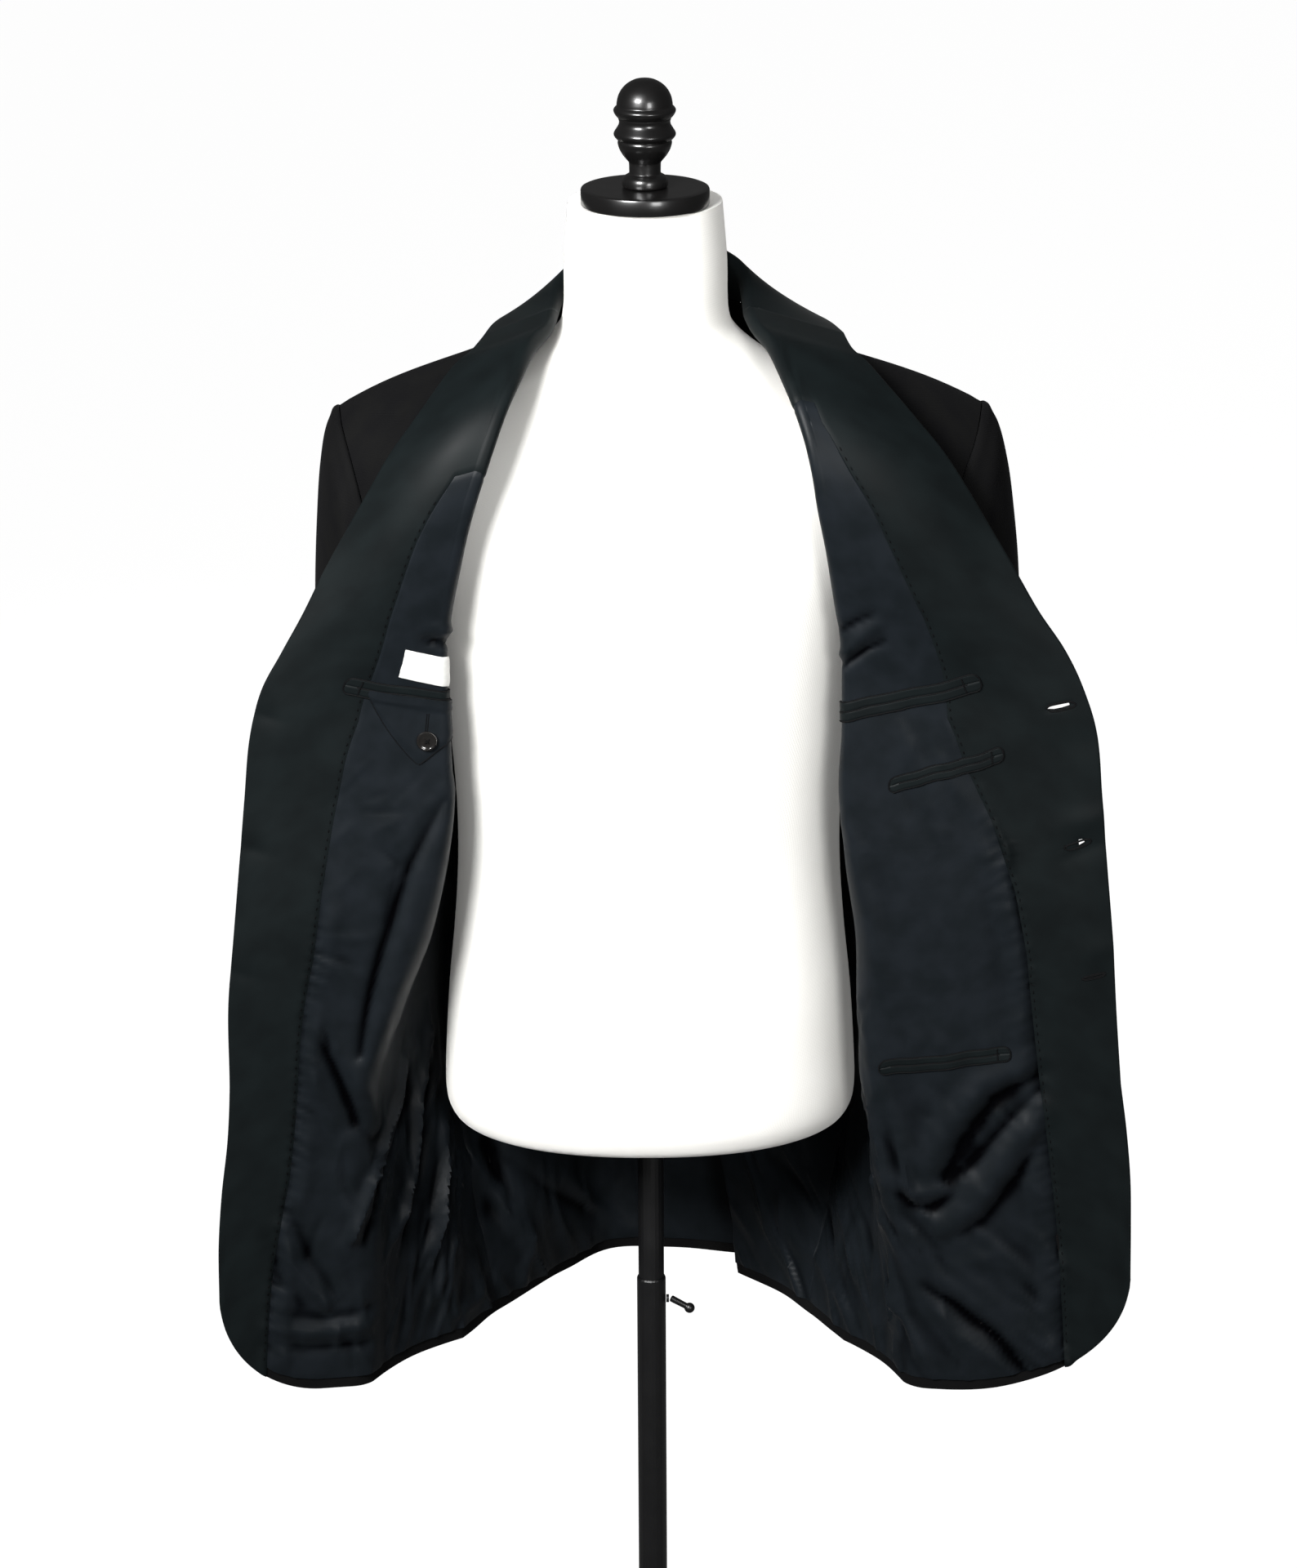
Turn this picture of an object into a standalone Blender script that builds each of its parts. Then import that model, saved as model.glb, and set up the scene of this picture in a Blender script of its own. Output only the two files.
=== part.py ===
"""Evening jacket with a satin shawl facing, worn open on a tailor's form.

Metres, +Z up. +X is the viewer's right and the front faces -Y. The origin is the centre of the
base's underside, on the pole's axis. Left and right are the viewer's.
"""

import math

import bpy
import numpy as np
from mathutils import Vector

# Heights of the form and its stand
HEM_Z = 0.558
FORM_BOTTOM_Z = 0.744
CAP_Z = 1.4268
CAP_THICK = 0.012
CAP_R = 0.0449
BASE_R = 0.160
BASE_THICK = 0.016
HUB_R = 0.024
HUB_TOP_Z = 0.046
TUBE_TOP_Z = 0.6154
OUTER_TUBE_R = 0.0107
OUTER_TUBE_BORE_R = 0.0097
TUBE_CHAMFER = 0.0006
INNER_TUBE_R = 0.0095
INNER_TUBE_BOTTOM_Z = 0.300
CLAMP_Z = 0.597
CLAMP_STUD_R = 0.0030
CLAMP_STUD_END_X = 0.0131
LEVER_R = 0.0025
LEVER_BALL_R = 0.0039
LEVER_LENGTH = 0.0158
LEVER_DROP = math.radians(30)
GAP = 0.0003

# Cloth: each layer's wall, measured from the shared surface of the cut
WOOL = (0.0003, 0.0019)
SATIN = (-0.0005, -0.0017)
LINING = (-0.0005, -0.0015)
SEWN_ON = (-0.0024, -0.0038)
TAB_ON = (-0.0023, -0.0033)
SEAM_GAP = 0.0002
SLEEVE_SEAM_GAP = 0.0005
LINING_HEM = 0.010

# Round front corners: how far each reaches along the hem and up the edge
CORNER = {"left": (0.075, 0.076), "right": (0.135, 0.095)}
FRONT_DROP = {"left": 0.003, "right": 0.008}
DROP_REACH = {"left": 0.30, "right": 0.55}
COLLAR_ROWS = 6
FOOT_CLEARANCE = 0.0014
WELT_END_COLUMNS = 0.6

# Rows of the front, from the shoulder seam down to the hem. The fold is where the front turns
# back, the edge is its free edge, the seam is the armhole or the front seam of the side panel.
FRONT_COLUMNS = (
    "fold_left", "fold_right", "fold_y", "fold_z",
    "edge_left", "edge_right", "edge_y", "edge_z",
    "seam_half", "seam_y", "seam_z", "middle", "bend", "crown",
)
FRONT_ROWS = (
    (0.0630, 0.0700, 0.004, 1.3480, 0.1130, 0.1385, 0.000, 1.3325, 0.2250, 0.000, 1.2830, 0.010, 0.0042, 0.001),
    (0.0665, 0.0745, -0.022, 1.3440, 0.1215, 0.1435, -0.028, 1.3285, 0.2220, -0.022, 1.2750, 0.010, 0.0042, 0.003),
    (0.0780, 0.0850, -0.050, 1.3375, 0.1320, 0.1530, -0.043, 1.3230, 0.2165, -0.040, 1.2615, 0.010, 0.0042, 0.004),
    (0.0880, 0.0945, -0.080, 1.3230, 0.1440, 0.1665, -0.060, 1.3110, 0.2100, -0.052, 1.2440, 0.009, 0.0042, 0.006),
    (0.0968, 0.1023, -0.098, 1.3080, 0.1595, 0.1850, -0.075, 1.2920, 0.2050, -0.059, 1.2250, 0.009, 0.0042, 0.008),
    (0.1050, 0.1095, -0.109, 1.2880, 0.1765, 0.2040, -0.083, 1.2700, 0.1995, -0.061, 1.2050, 0.009, 0.0042, 0.009),
    (0.1130, 0.1150, -0.1145, 1.2650, 0.1910, 0.2200, -0.086, 1.2460, 0.1945, -0.058, 1.1860, 0.008, 0.0042, 0.009),
    (0.1209, 0.1190, -0.1140, 1.2400, 0.2075, 0.2370, -0.086, 1.2170, 0.1890, -0.050, 1.1670, 0.007, 0.0045, 0.009),
    (0.1290, 0.1255, -0.1090, 1.2070, 0.2240, 0.2540, -0.086, 1.1880, 0.1840, -0.035, 1.1490, 0.006, 0.0045, 0.008),
    (0.1365, 0.1310, -0.1010, 1.1700, 0.2400, 0.2720, -0.086, 1.1560, 0.1780, -0.012, 1.1360, 0.005, 0.0050, 0.007),
    (0.1415, 0.1360, -0.0930, 1.1330, 0.2555, 0.2905, -0.085, 1.1280, 0.1700, 0.012, 1.1270, 0.004, 0.0050, 0.006),
    (0.1415, 0.1376, -0.0880, 1.1000, 0.2705, 0.3040, -0.0845, 1.1000, 0.1610, 0.026, 1.1000, 0.003, 0.0050, 0.005),
    (0.1410, 0.1382, -0.0870, 1.0650, 0.2795, 0.3148, -0.084, 1.0650, 0.1570, 0.032, 1.0650, 0.002, 0.0050, 0.005),
    (0.1415, 0.1378, -0.0850, 1.0200, 0.2845, 0.3193, -0.0835, 1.0200, 0.1530, 0.036, 1.0200, 0.001, 0.0070, 0.005),
    (0.1470, 0.1430, -0.0840, 0.9700, 0.2897, 0.3238, -0.083, 0.9700, 0.1515, 0.038, 0.9700, 0.001, 0.0090, 0.005),
    (0.1600, 0.1520, -0.0820, 0.9150, 0.2954, 0.3290, -0.082, 0.9150, 0.1530, 0.038, 0.9150, 0.001, 0.0130, 0.005),
    (0.1820, 0.1548, -0.0780, 0.8600, 0.3010, 0.3330, -0.0815, 0.8600, 0.1570, 0.036, 0.8600, 0.001, 0.0160, 0.004),
    (0.2040, 0.1578, -0.0730, 0.8000, 0.3020, 0.3379, -0.081, 0.8000, 0.1600, 0.034, 0.8000, 0.001, 0.0200, 0.003),
    (0.2100, 0.1690, -0.0690, 0.7400, 0.3050, 0.3432, -0.080, 0.7400, 0.1580, 0.030, 0.7400, 0.001, 0.0220, 0.002),
    (0.2120, 0.1797, -0.0650, 0.6800, 0.3105, 0.3468, -0.0795, 0.6800, 0.1530, 0.026, 0.6800, 0.001, 0.0240, 0.001),
    (0.2125, 0.1890, -0.0620, 0.6200, 0.3140, 0.3480, -0.079, 0.6200, 0.1480, 0.022, 0.6200, 0.001, 0.0240, 0.000),
    (0.2120, 0.1930, -0.0600, 0.5580, 0.3145, 0.3485, -0.078, 0.5580, 0.1430, 0.018, 0.5580, 0.001, 0.0240, 0.000),
)

# Rows of the back, level with the rows of the front: its armhole or side seam, then halfway to
# the centre seam (from the armhole's foot down), then the centre seam.
BACK_COLUMNS = ("side_half", "side_y", "side_z", "quarter_half", "quarter_y", "centre_y", "centre_z")
BACK_ROWS = (
    (0.2250, 0.0008, 1.2830, 0.0, 0.0, 0.0880, 1.3410),
    (0.2230, 0.0220, 1.2760, 0.0, 0.0, 0.0930, 1.3200),
    (0.2180, 0.0420, 1.2615, 0.0, 0.0, 0.0985, 1.2990),
    (0.2120, 0.0550, 1.2430, 0.0, 0.0, 0.1040, 1.2780),
    (0.2065, 0.0630, 1.2230, 0.0, 0.0, 0.1090, 1.2570),
    (0.2010, 0.0670, 1.2030, 0.0, 0.0, 0.1135, 1.2360),
    (0.1950, 0.0690, 1.1850, 0.0, 0.0, 0.1170, 1.2140),
    (0.1885, 0.0690, 1.1690, 0.0, 0.0, 0.1195, 1.1920),
    (0.1810, 0.0680, 1.1540, 0.0, 0.0, 0.1210, 1.1700),
    (0.1720, 0.0660, 1.1400, 0.0, 0.0, 0.1212, 1.1480),
    (0.1620, 0.0640, 1.1270, 0.105, 0.1040, 0.1208, 1.1270),
    (0.1530, 0.0680, 1.1000, 0.104, 0.1035, 0.1195, 1.1000),
    (0.1490, 0.0710, 1.0650, 0.102, 0.1025, 0.1175, 1.0650),
    (0.1450, 0.0730, 1.0200, 0.099, 0.1005, 0.1150, 1.0200),
    (0.1430, 0.0740, 0.9700, 0.097, 0.0995, 0.1135, 0.9700),
    (0.1450, 0.0750, 0.9150, 0.098, 0.1015, 0.1165, 0.9150),
    (0.1490, 0.0770, 0.8600, 0.101, 0.1065, 0.1245, 0.8600),
    (0.1520, 0.0780, 0.8000, 0.103, 0.1130, 0.1360, 0.8000),
    (0.1480, 0.0770, 0.7400, 0.101, 0.1180, 0.1470, 0.7400),
    (0.1390, 0.0740, 0.6800, 0.096, 0.1230, 0.1600, 0.6800),
    (0.1290, 0.0710, 0.6200, 0.088, 0.1260, 0.1740, 0.6200),
    (0.1180, 0.0660, 0.5580, 0.078, 0.1200, 0.1900, 0.5580),
)
ARMHOLE_FOOT = 10
HEM_ROW = 21
SHOULDER_BLADE = 0.014
BASE_CROWN = 0.005
SHOULDER_CROWN = 0.0040

# Rows of the collar, from the shoulder to the centre back: roll line, free edge, foot of the stand
COLLAR_COLUMNS = (
    "fold_left", "fold_right", "fold_y", "fold_z",
    "edge_left", "edge_right", "edge_y", "edge_z",
    "foot_half", "foot_y", "foot_z", "middle", "bend", "crown",
)
COLLAR_TABLE = (
    (0.0630, 0.0700, 0.004, 1.3480, 0.1130, 0.1385, 0.000, 1.3325, 0.0760, 0.0038, 1.3440, 0.004, 0.0042, 0.001),
    (0.0618, 0.0700, 0.025, 1.3560, 0.1075, 0.1300, 0.031, 1.3330, 0.0715, 0.0290, 1.3430, 0.004, 0.0042, 0.001),
    (0.0606, 0.0690, 0.045, 1.3640, 0.0990, 0.1180, 0.057, 1.3330, 0.0675, 0.0480, 1.3430, 0.003, 0.0042, 0.001),
    (0.0540, 0.0610, 0.065, 1.3720, 0.0850, 0.0960, 0.078, 1.3335, 0.0570, 0.0660, 1.3425, 0.002, 0.0042, 0.001),
    (0.0390, 0.0430, 0.081, 1.3790, 0.0620, 0.0680, 0.094, 1.3350, 0.0410, 0.0780, 1.3420, 0.001, 0.0042, 0.001),
    (0.0200, 0.0220, 0.091, 1.3835, 0.0330, 0.0345, 0.103, 1.3360, 0.0210, 0.0855, 1.3420, 0.000, 0.0042, 0.001),
    (0.0000, 0.0000, 0.094, 1.3850, 0.0000, 0.0000, 0.106, 1.3365, 0.0000, 0.0880, 1.3420, 0.000, 0.0042, 0.001),
)
COLLAR_LEFT_DROP = 0.008

# Centre vent: how far each half is drawn to its open place, and that place in plan from the side
# seam to the vent's edge, x measured outwards
VENT_COLUMNS = ("row", "left", "right")
VENT_ROWS = (
    (16.5, 0.00, 0.00),
    (17.0, 0.00, 0.055),
    (18.0, 0.425, 0.38),
    (19.0, 0.76, 0.72),
    (20.0, 0.94, 0.91),
    (21.0, 1.00, 1.00),
)
VENT_PLACES = {
    "left": ((0.1010, 0.0900), (0.0650, 0.1420), (0.0300, 0.1820), (-0.0100, 0.1830), (-0.0840, 0.1670)),
    "right": ((0.0990, 0.1000), (0.0670, 0.1370)),
}

# Width of the satin facing from the front edge, by height
FACING_COLUMNS = ("z", "left", "right")
FACING_ROWS = (
    (1.300, 0.075, 0.079),
    (1.260, 0.067, 0.084),
    (1.200, 0.063, 0.086),
    (1.150, 0.066, 0.086),
    (1.110, 0.073, 0.094),
    (1.080, 0.074, 0.102),
    (1.050, 0.069, 0.097),
    (1.005, 0.064, 0.080),
    (0.950, 0.060, 0.067),
    (0.900, 0.058, 0.062),
    (0.820, 0.050, 0.059),
    (0.720, 0.045, 0.055),
    (0.650, 0.038, 0.051),
    (0.558, 0.032, 0.046),
)
FACING_TO_FOLD = {"left": 6, "right": 4}
WIDEST_FACING = 0.90
COLLAR_SEAM = 0.60
TURN_UNDER = 0.014

# Rows of a sleeve from below its head to the cuff. Outer and inner are half-distances from the
# middle, depth is half the sleeve's size from front to back.
SLEEVE_COLUMNS = ("middle", "outer", "inner", "y", "depth", "outer_z", "inner_z")
SLEEVE_ROWS = (
    (0.011, 0.2345, 0.1885, 0.002, 0.0640, 1.2690, 1.1220),
    (0.012, 0.2400, 0.1860, 0.003, 0.0685, 1.2450, 1.1080),
    (0.013, 0.2440, 0.1850, 0.004, 0.0705, 1.2130, 1.0900),
    (0.014, 0.2485, 0.1865, 0.007, 0.0720, 1.1600, 1.0600),
    (0.014, 0.2505, 0.1875, 0.010, 0.0705, 1.0850, 1.0200),
    (0.012, 0.2500, 0.1905, 0.017, 0.0665, 0.9900, 0.9600),
    (0.011, 0.2495, 0.1930, 0.024, 0.0630, 0.8800, 0.8700),
    (0.010, 0.2490, 0.1955, 0.032, 0.0595, 0.7600, 0.7600),
    (0.010, 0.2490, 0.1990, 0.040, 0.0550, 0.6500, 0.6500),
)
SLEEVE_STAND_OFF = 0.0040
UPPER_SLEEVE_ARC = (-96.0, 114.0)
UPPER_SEGMENTS = 9
UNDER_SEGMENTS = 6

# Sections of the padded form: height, half width, front, back, roundness
TORSO_COLUMNS = ("z", "half", "front", "back", "power")
TORSO_ROWS = (
    (1.4262, 0.0540, -0.040, 0.072, 2.0),
    (1.3850, 0.0572, -0.044, 0.079, 2.0),
    (1.3500, 0.0580, -0.050, 0.081, 2.0),
    (1.3360, 0.0640, -0.055, 0.076, 2.0),
    (1.3200, 0.0850, -0.062, 0.070, 2.0),
    (1.3000, 0.1180, -0.072, 0.073, 2.0),
    (1.2750, 0.1480, -0.083, 0.082, 2.1),
    (1.2400, 0.1660, -0.096, 0.097, 2.3),
    (1.2000, 0.1620, -0.105, 0.103, 2.3),
    (1.1500, 0.1510, -0.110, 0.107, 2.2),
    (1.1100, 0.1465, -0.108, 0.107, 2.2),
    (1.0600, 0.1430, -0.102, 0.105, 2.2),
    (1.0000, 0.1385, -0.096, 0.101, 2.2),
    (0.9500, 0.1380, -0.092, 0.100, 2.2),
    (0.9000, 0.1410, -0.093, 0.102, 2.2),
    (0.8500, 0.1460, -0.097, 0.108, 2.2),
    (0.8050, 0.1490, -0.099, 0.114, 2.2),
    (0.7720, 0.1500, -0.100, 0.117, 2.2),
    (0.7560, 0.1470, -0.096, 0.114, 2.2),
    (0.7470, 0.1380, -0.088, 0.106, 2.2),
    (FORM_BOTTOM_Z, 0.1170, -0.072, 0.088, 2.2),
)
TORSO_SIDES = 30

# Profile of the turned finial above the cap: radius, height over the cap's top
FINIAL_PROFILE = (
    (0.0152, 0.0003), (0.0160, 0.0040), (0.0150, 0.0086), (0.0116, 0.0098), (0.0112, 0.0150),
    (0.0122, 0.0210), (0.0160, 0.0280), (0.0188, 0.0330), (0.0216, 0.0378), (0.0205, 0.0420),
    (0.0178, 0.0459), (0.0195, 0.0500), (0.0217, 0.0545), (0.0200, 0.0620), (0.0150, 0.0700),
    (0.0080, 0.0745),
)
FINIAL_TOP = 0.0762

# Pocket welts: side, distance from the front edge and height of both ends, width
POCKETS = {
    "inner_pocket_left": ("left", 0.056, 1.1085, 0.196, 1.0823, 0.012),
    "inner_pocket_right": ("right", 0.0695, 1.1080, 0.212, 1.0750, 0.013),
    "pen_pocket_right": ("right", 0.068, 1.0535, 0.150, 1.0303, 0.011),
    "lower_pocket_right": ("right", 0.078, 0.8260, 0.172, 0.8130, 0.011),
}
TAB_FROM = (0.082, 1.0970)
TAB_TO = (0.162, 1.0821)
TAB_TIP = (0.121, 1.0494)
TAB_SHOULDER = 0.002
TAB_SPACE = 0.0006
LABEL_FROM = (0.0871, 1.1353)
LABEL_SIZE = (0.051, 0.0212)
LABEL_SLOPE = 0.257
LABEL_LEAN = 0.0042
INNER_BUTTON = (0.1244, 1.0660)
INNER_BUTTON_R = 0.0075
FRONT_BUTTON_D = 0.015
FRONT_BUTTON_Z = (1.090, 0.986, 0.882)
FRONT_BUTTON_R = 0.0100

# Columns of the cloth between its stations, and its rows
FACING_STEPS = (0.0, 0.12, 0.38, 0.70, 1.0)
FLAP_STEPS = (0.36, 0.70, 1.0)
ARC_SEGMENTS = 4
BASE_SEGMENTS = 4
SIDE_SEGMENTS = 2
BACK_SEGMENTS = 7
BODY_ROWS = (0, 0.5, 1, 2, 3, 4, 5, 6, 7, 8, 9, 10, 11, 12.5, 14, 15.5, 17, 18, 19, 20, 21)
COLLAR_STEPS = (0.02, 0.6, 1.3, 2, 3, 4, 5, 6)
SLEEVE_STEPS = (0, 0.4, 1, 2, 3, 4, 5, 6, 7, 8, 9)

COLOURS = {
    "wool": ((0.010, 0.010, 0.012), 0.85, 0.0),
    "satin": ((0.012, 0.013, 0.016), 0.32, 0.0),
    "lining": ((0.016, 0.020, 0.024), 0.38, 0.0),
    "button": ((0.012, 0.012, 0.012), 0.30, 0.0),
    "label": ((0.82, 0.82, 0.80), 0.60, 0.0),
    "jersey": ((0.80, 0.79, 0.74), 0.80, 0.0),
    "turned_wood": ((0.015, 0.014, 0.013), 0.25, 0.0),
    "pole_steel": ((0.020, 0.020, 0.021), 0.30, 0.6),
    "base_iron": ((0.018, 0.018, 0.019), 0.45, 0.5),
}


def clear_scene():
    """Remove every object of the scene."""
    for item in list(bpy.data.objects):
        bpy.data.objects.remove(item, do_unlink=True)


def material(name):
    """Return the named material, made once."""
    found = bpy.data.materials.get(name)
    if found:
        return found
    colour, roughness, metallic = COLOURS[name]
    made = bpy.data.materials.new(name)
    made.use_nodes = True
    shader = made.node_tree.nodes["Principled BSDF"]
    shader.inputs["Base Color"].default_value = (*colour, 1.0)
    shader.inputs["Roughness"].default_value = roughness
    shader.inputs["Metallic"].default_value = metallic
    made.diffuse_color = (*colour, 1.0)
    return made


def add_object(name, points, faces, finish, sharp=35.0):
    """Make one closed solid, shaded smooth."""
    mesh = bpy.data.meshes.new(name)
    mesh.from_pydata([tuple(float(c) for c in p) for p in points], [], [tuple(f) for f in faces])
    mesh.validate()
    mesh.shade_smooth()
    mesh.set_sharp_from_angle(angle=math.radians(sharp))
    mesh.materials.append(material(finish))
    made = bpy.data.objects.new(name, mesh)
    bpy.context.collection.objects.link(made)
    return made


def column(columns, rows, name, at):
    """Read a table's column at fractional rows, along a smooth curve through its values."""
    values = np.array([row[columns.index(name)] for row in rows], dtype=float)
    at = np.clip(np.asarray(at, dtype=float), 0, len(values) - 1)
    low = np.minimum(at.astype(int), len(values) - 2)
    t = at - low
    before = values[np.maximum(low - 1, 0)]
    here = values[low]
    after = values[low + 1]
    beyond = values[np.minimum(low + 2, len(values) - 1)]
    return 0.5 * (
        2 * here
        + (after - before) * t
        + (2 * before - 5 * here + 4 * after - beyond) * t**2
        + (3 * here - before - 3 * after + beyond) * t**3
    )


def between(columns, rows, key, name, at):
    """Read a table's column straight between its rows, by the value of a key column."""
    keys = np.array([row[columns.index(key)] for row in rows])
    values = np.array([row[columns.index(name)] for row in rows])
    order = np.argsort(keys)
    return float(np.interp(at, keys[order], values[order]))


def unit(vector):
    """Return the vector at length one."""
    return vector / max(np.linalg.norm(vector), 1e-12)


def belt(edge, tip, seam, bend):
    """Return both straight runs and the turn of a cloth that passes round a bend at its tip."""
    to_edge = unit(edge - tip)
    inward = unit(to_edge + unit(seam - tip))
    centre = tip + inward * bend
    across = unit(to_edge - inward * np.dot(to_edge, inward))

    def touch(point):
        ahead = np.dot(point - centre, -inward)
        aside = abs(np.dot(point - centre, across))
        reach = math.hypot(ahead, aside)
        return max(math.atan2(aside, ahead) - math.acos(min(bend / reach, 1.0)), 0.06)

    turns = np.linspace(touch(edge), -touch(seam), ARC_SEGMENTS + 1)
    return [centre - inward * (math.cos(a) * bend) + across * (math.sin(a) * bend) for a in turns]


def along(start, end, steps, crown, way):
    """Return points from start to end, crowned to one side."""
    return [start + (end - start) * t + way * (crown * math.sin(math.pi * t)) for t in steps]


def curve(points, segments):
    """Return evenly spaced points on a smooth curve through the given ones."""
    points = np.array(points)
    lengths = np.concatenate([[0], np.cumsum(np.linalg.norm(np.diff(points, axis=0), axis=1))])
    slopes = np.gradient(points, lengths, axis=0)
    at = np.linspace(0, lengths[-1], segments + 1)
    low = np.clip(np.searchsorted(lengths, at, side="right") - 1, 0, len(points) - 2)
    span = (lengths[low + 1] - lengths[low])[:, None]
    t = ((at - lengths[low]) / span[:, 0])[:, None]
    return (
        (1 + 2 * t) * (1 - t) ** 2 * points[low]
        + t * (1 - t) ** 2 * span * slopes[low]
        + t**2 * (3 - 2 * t) * points[low + 1]
        + t**2 * (t - 1) * span * slopes[low + 1]
    )


def front_anchor(side, row, table=FRONT_ROWS, columns=FRONT_COLUMNS, seam="seam"):
    """Return a row's edge, fold and seam points, with x measured outwards from the centre."""
    read = {name: float(column(columns, table, name, row)) for name in columns}
    shift = read["middle"] if side == "right" else -read["middle"]
    edge = np.array([read[f"edge_{side}"], read["edge_y"], read["edge_z"]])
    fold = np.array([read[f"fold_{side}"], read["fold_y"], read["fold_z"]])
    foot = np.array([read[f"{seam}_half"] + shift, read[f"{seam}_y"], read[f"{seam}_z"]])
    if table is COLLAR_TABLE and side == "left":
        fold[2] -= COLLAR_LEFT_DROP * math.sin(math.pi * row / COLLAR_ROWS)
    return edge, fold, foot, read["bend"], read["crown"]


def flap_steps(share):
    """Return the flap's columns as shares of its width, with one on the satin's seam."""
    satin = [share * t for t in FACING_STEPS]
    return satin + [share + (1 - share) * t for t in FLAP_STEPS]


def front_path(side, row):
    """Return a row of the front: from its edge to the fold, round it, and on to the seam."""
    edge, fold, seam, bend, crown = front_anchor(side, row)
    turn = belt(edge, fold, seam, bend)
    width = between(FACING_COLUMNS, FACING_ROWS, "z", side, edge[2])
    share = min(width / np.linalg.norm(turn[0] - edge), WIDEST_FACING)
    flap = along(edge, turn[0], flap_steps(share), crown, np.array([0.0, -1.0, 0.0]))
    chord = seam - turn[-1]
    outward = unit(np.array([chord[1], -chord[0], 0.35 * abs(chord[0])]))
    under = TURN_UNDER / np.linalg.norm(chord)
    steps = [0] + list(np.linspace(under, 1, BASE_SEGMENTS))
    base = along(turn[-1], seam, steps, BASE_CROWN, outward)
    at_shoulder = max(1 - row / 3, 0)
    for point, t in zip(base, steps):
        point += SHOULDER_CROWN * math.sin(math.pi * t * t) * at_shoulder * np.array([0, 0, 1])
    return flap + turn[1:] + base[1:]


def neckline(side):
    """Return the foot of the collar from the shoulder seam to the centre back."""
    rows = np.linspace(0.8, COLLAR_ROWS, 7)
    return [front_anchor(side, row, COLLAR_TABLE, COLLAR_COLUMNS, "foot")[2] for row in rows]


def back_top(side, segments):
    """Return the back's top edge: the shoulder seam, then the neckline."""
    shoulder = np.array(front_path(side, 0)[-BASE_SEGMENTS:])[::-1]
    neck = curve(np.vstack([shoulder[-1:], neckline(side)]), segments - BASE_SEGMENTS + 1)
    return np.vstack([shoulder, neck[1:]])


def lower_back_path(side, row, seam):
    """Return a row below the armhole: across the side panel, then across the back."""
    read = {name: float(column(BACK_COLUMNS, BACK_ROWS, name, row)) for name in BACK_COLUMNS}
    shift = float(column(FRONT_COLUMNS, FRONT_ROWS, "middle", row))
    shift = shift if side == "right" else -shift
    z = seam[2]
    side_point = np.array([read["side_half"] + shift, read["side_y"], z])
    quarter = np.array([read["quarter_half"], read["quarter_y"], z])
    centre = np.array([0.0, read["centre_y"], z])
    mirrored = quarter * np.array([-1.0, 1.0, 1.0])
    whole = curve([seam, side_point, quarter, centre, mirrored], 400)
    first = int(np.argmin(np.linalg.norm(whole - side_point, axis=1)))
    last = int(np.argmin(np.linalg.norm(whole - centre, axis=1)))
    across = whole[np.linspace(0, first, SIDE_SEGMENTS + 1).astype(int)]
    back = whole[np.linspace(first, last, BACK_SEGMENTS + 1).astype(int)]
    across[-1] = back[0] = side_point
    back[-1] = centre
    opened = between(VENT_COLUMNS, VENT_ROWS, "row", side, row)
    places = [np.array([x, y, z]) for x, y in VENT_PLACES[side]]
    drawn = curve([side_point] + places, BACK_SEGMENTS)
    return across, back * (1 - opened) + drawn * opened


def upper_back_rows(side, rows):
    """Return the back from the shoulder to the armhole's foot, blended from its four borders."""
    top = back_top(side, BACK_SEGMENTS)
    seam = front_anchor(side, ARMHOLE_FOOT)[2]
    foot = lower_back_path(side, ARMHOLE_FOOT, seam)[1]
    u = np.linspace(0, 1, BACK_SEGMENTS + 1)[:, None]
    made = []
    for row in rows:
        read = {name: float(column(BACK_COLUMNS, BACK_ROWS, name, row)) for name in BACK_COLUMNS}
        shift = float(column(FRONT_COLUMNS, FRONT_ROWS, "middle", row))
        shift = shift if side == "right" else -shift
        arm = np.array([read["side_half"] + shift, read["side_y"], read["side_z"]])
        centre = np.array([0.0, read["centre_y"], read["centre_z"]])
        level = row / ARMHOLE_FOOT
        w = math.sin(math.pi / 2 * level)
        corners = (
            (1 - u) * (1 - w) * top[0] + u * (1 - w) * top[-1]
            + (1 - u) * w * foot[0] + u * w * foot[-1]
        )
        sheet = (1 - w) * top + w * foot + (1 - u) * arm + u * centre - corners
        bulge = SHOULDER_BLADE * np.sin(math.pi * u) * math.sin(math.pi * level)
        sheet[:, 1] += bulge[:, 0]
        made.append(sheet)
    return made


def body_grid(side):
    """Return the half jacket's cloth surface as a grid of points, x measured outwards."""
    upper = [row for row in BODY_ROWS if row < ARMHOLE_FOOT]
    upper_back = upper_back_rows(side, upper)
    grid = []
    for index, row in enumerate(BODY_ROWS):
        front = np.array(front_path(side, row))
        if row < ARMHOLE_FOOT:
            back = upper_back[index]
            steps = np.linspace(0, 1, SIDE_SEGMENTS + 1)[:, None]
            across = front[-1] + (back[0] - front[-1]) * steps
        else:
            across, back = lower_back_path(side, row, front[-1])
        grid.append(np.vstack([front, across[1:], back[1:]]))
    grid = np.array(grid)
    return round_corner(side, grid)


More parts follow.
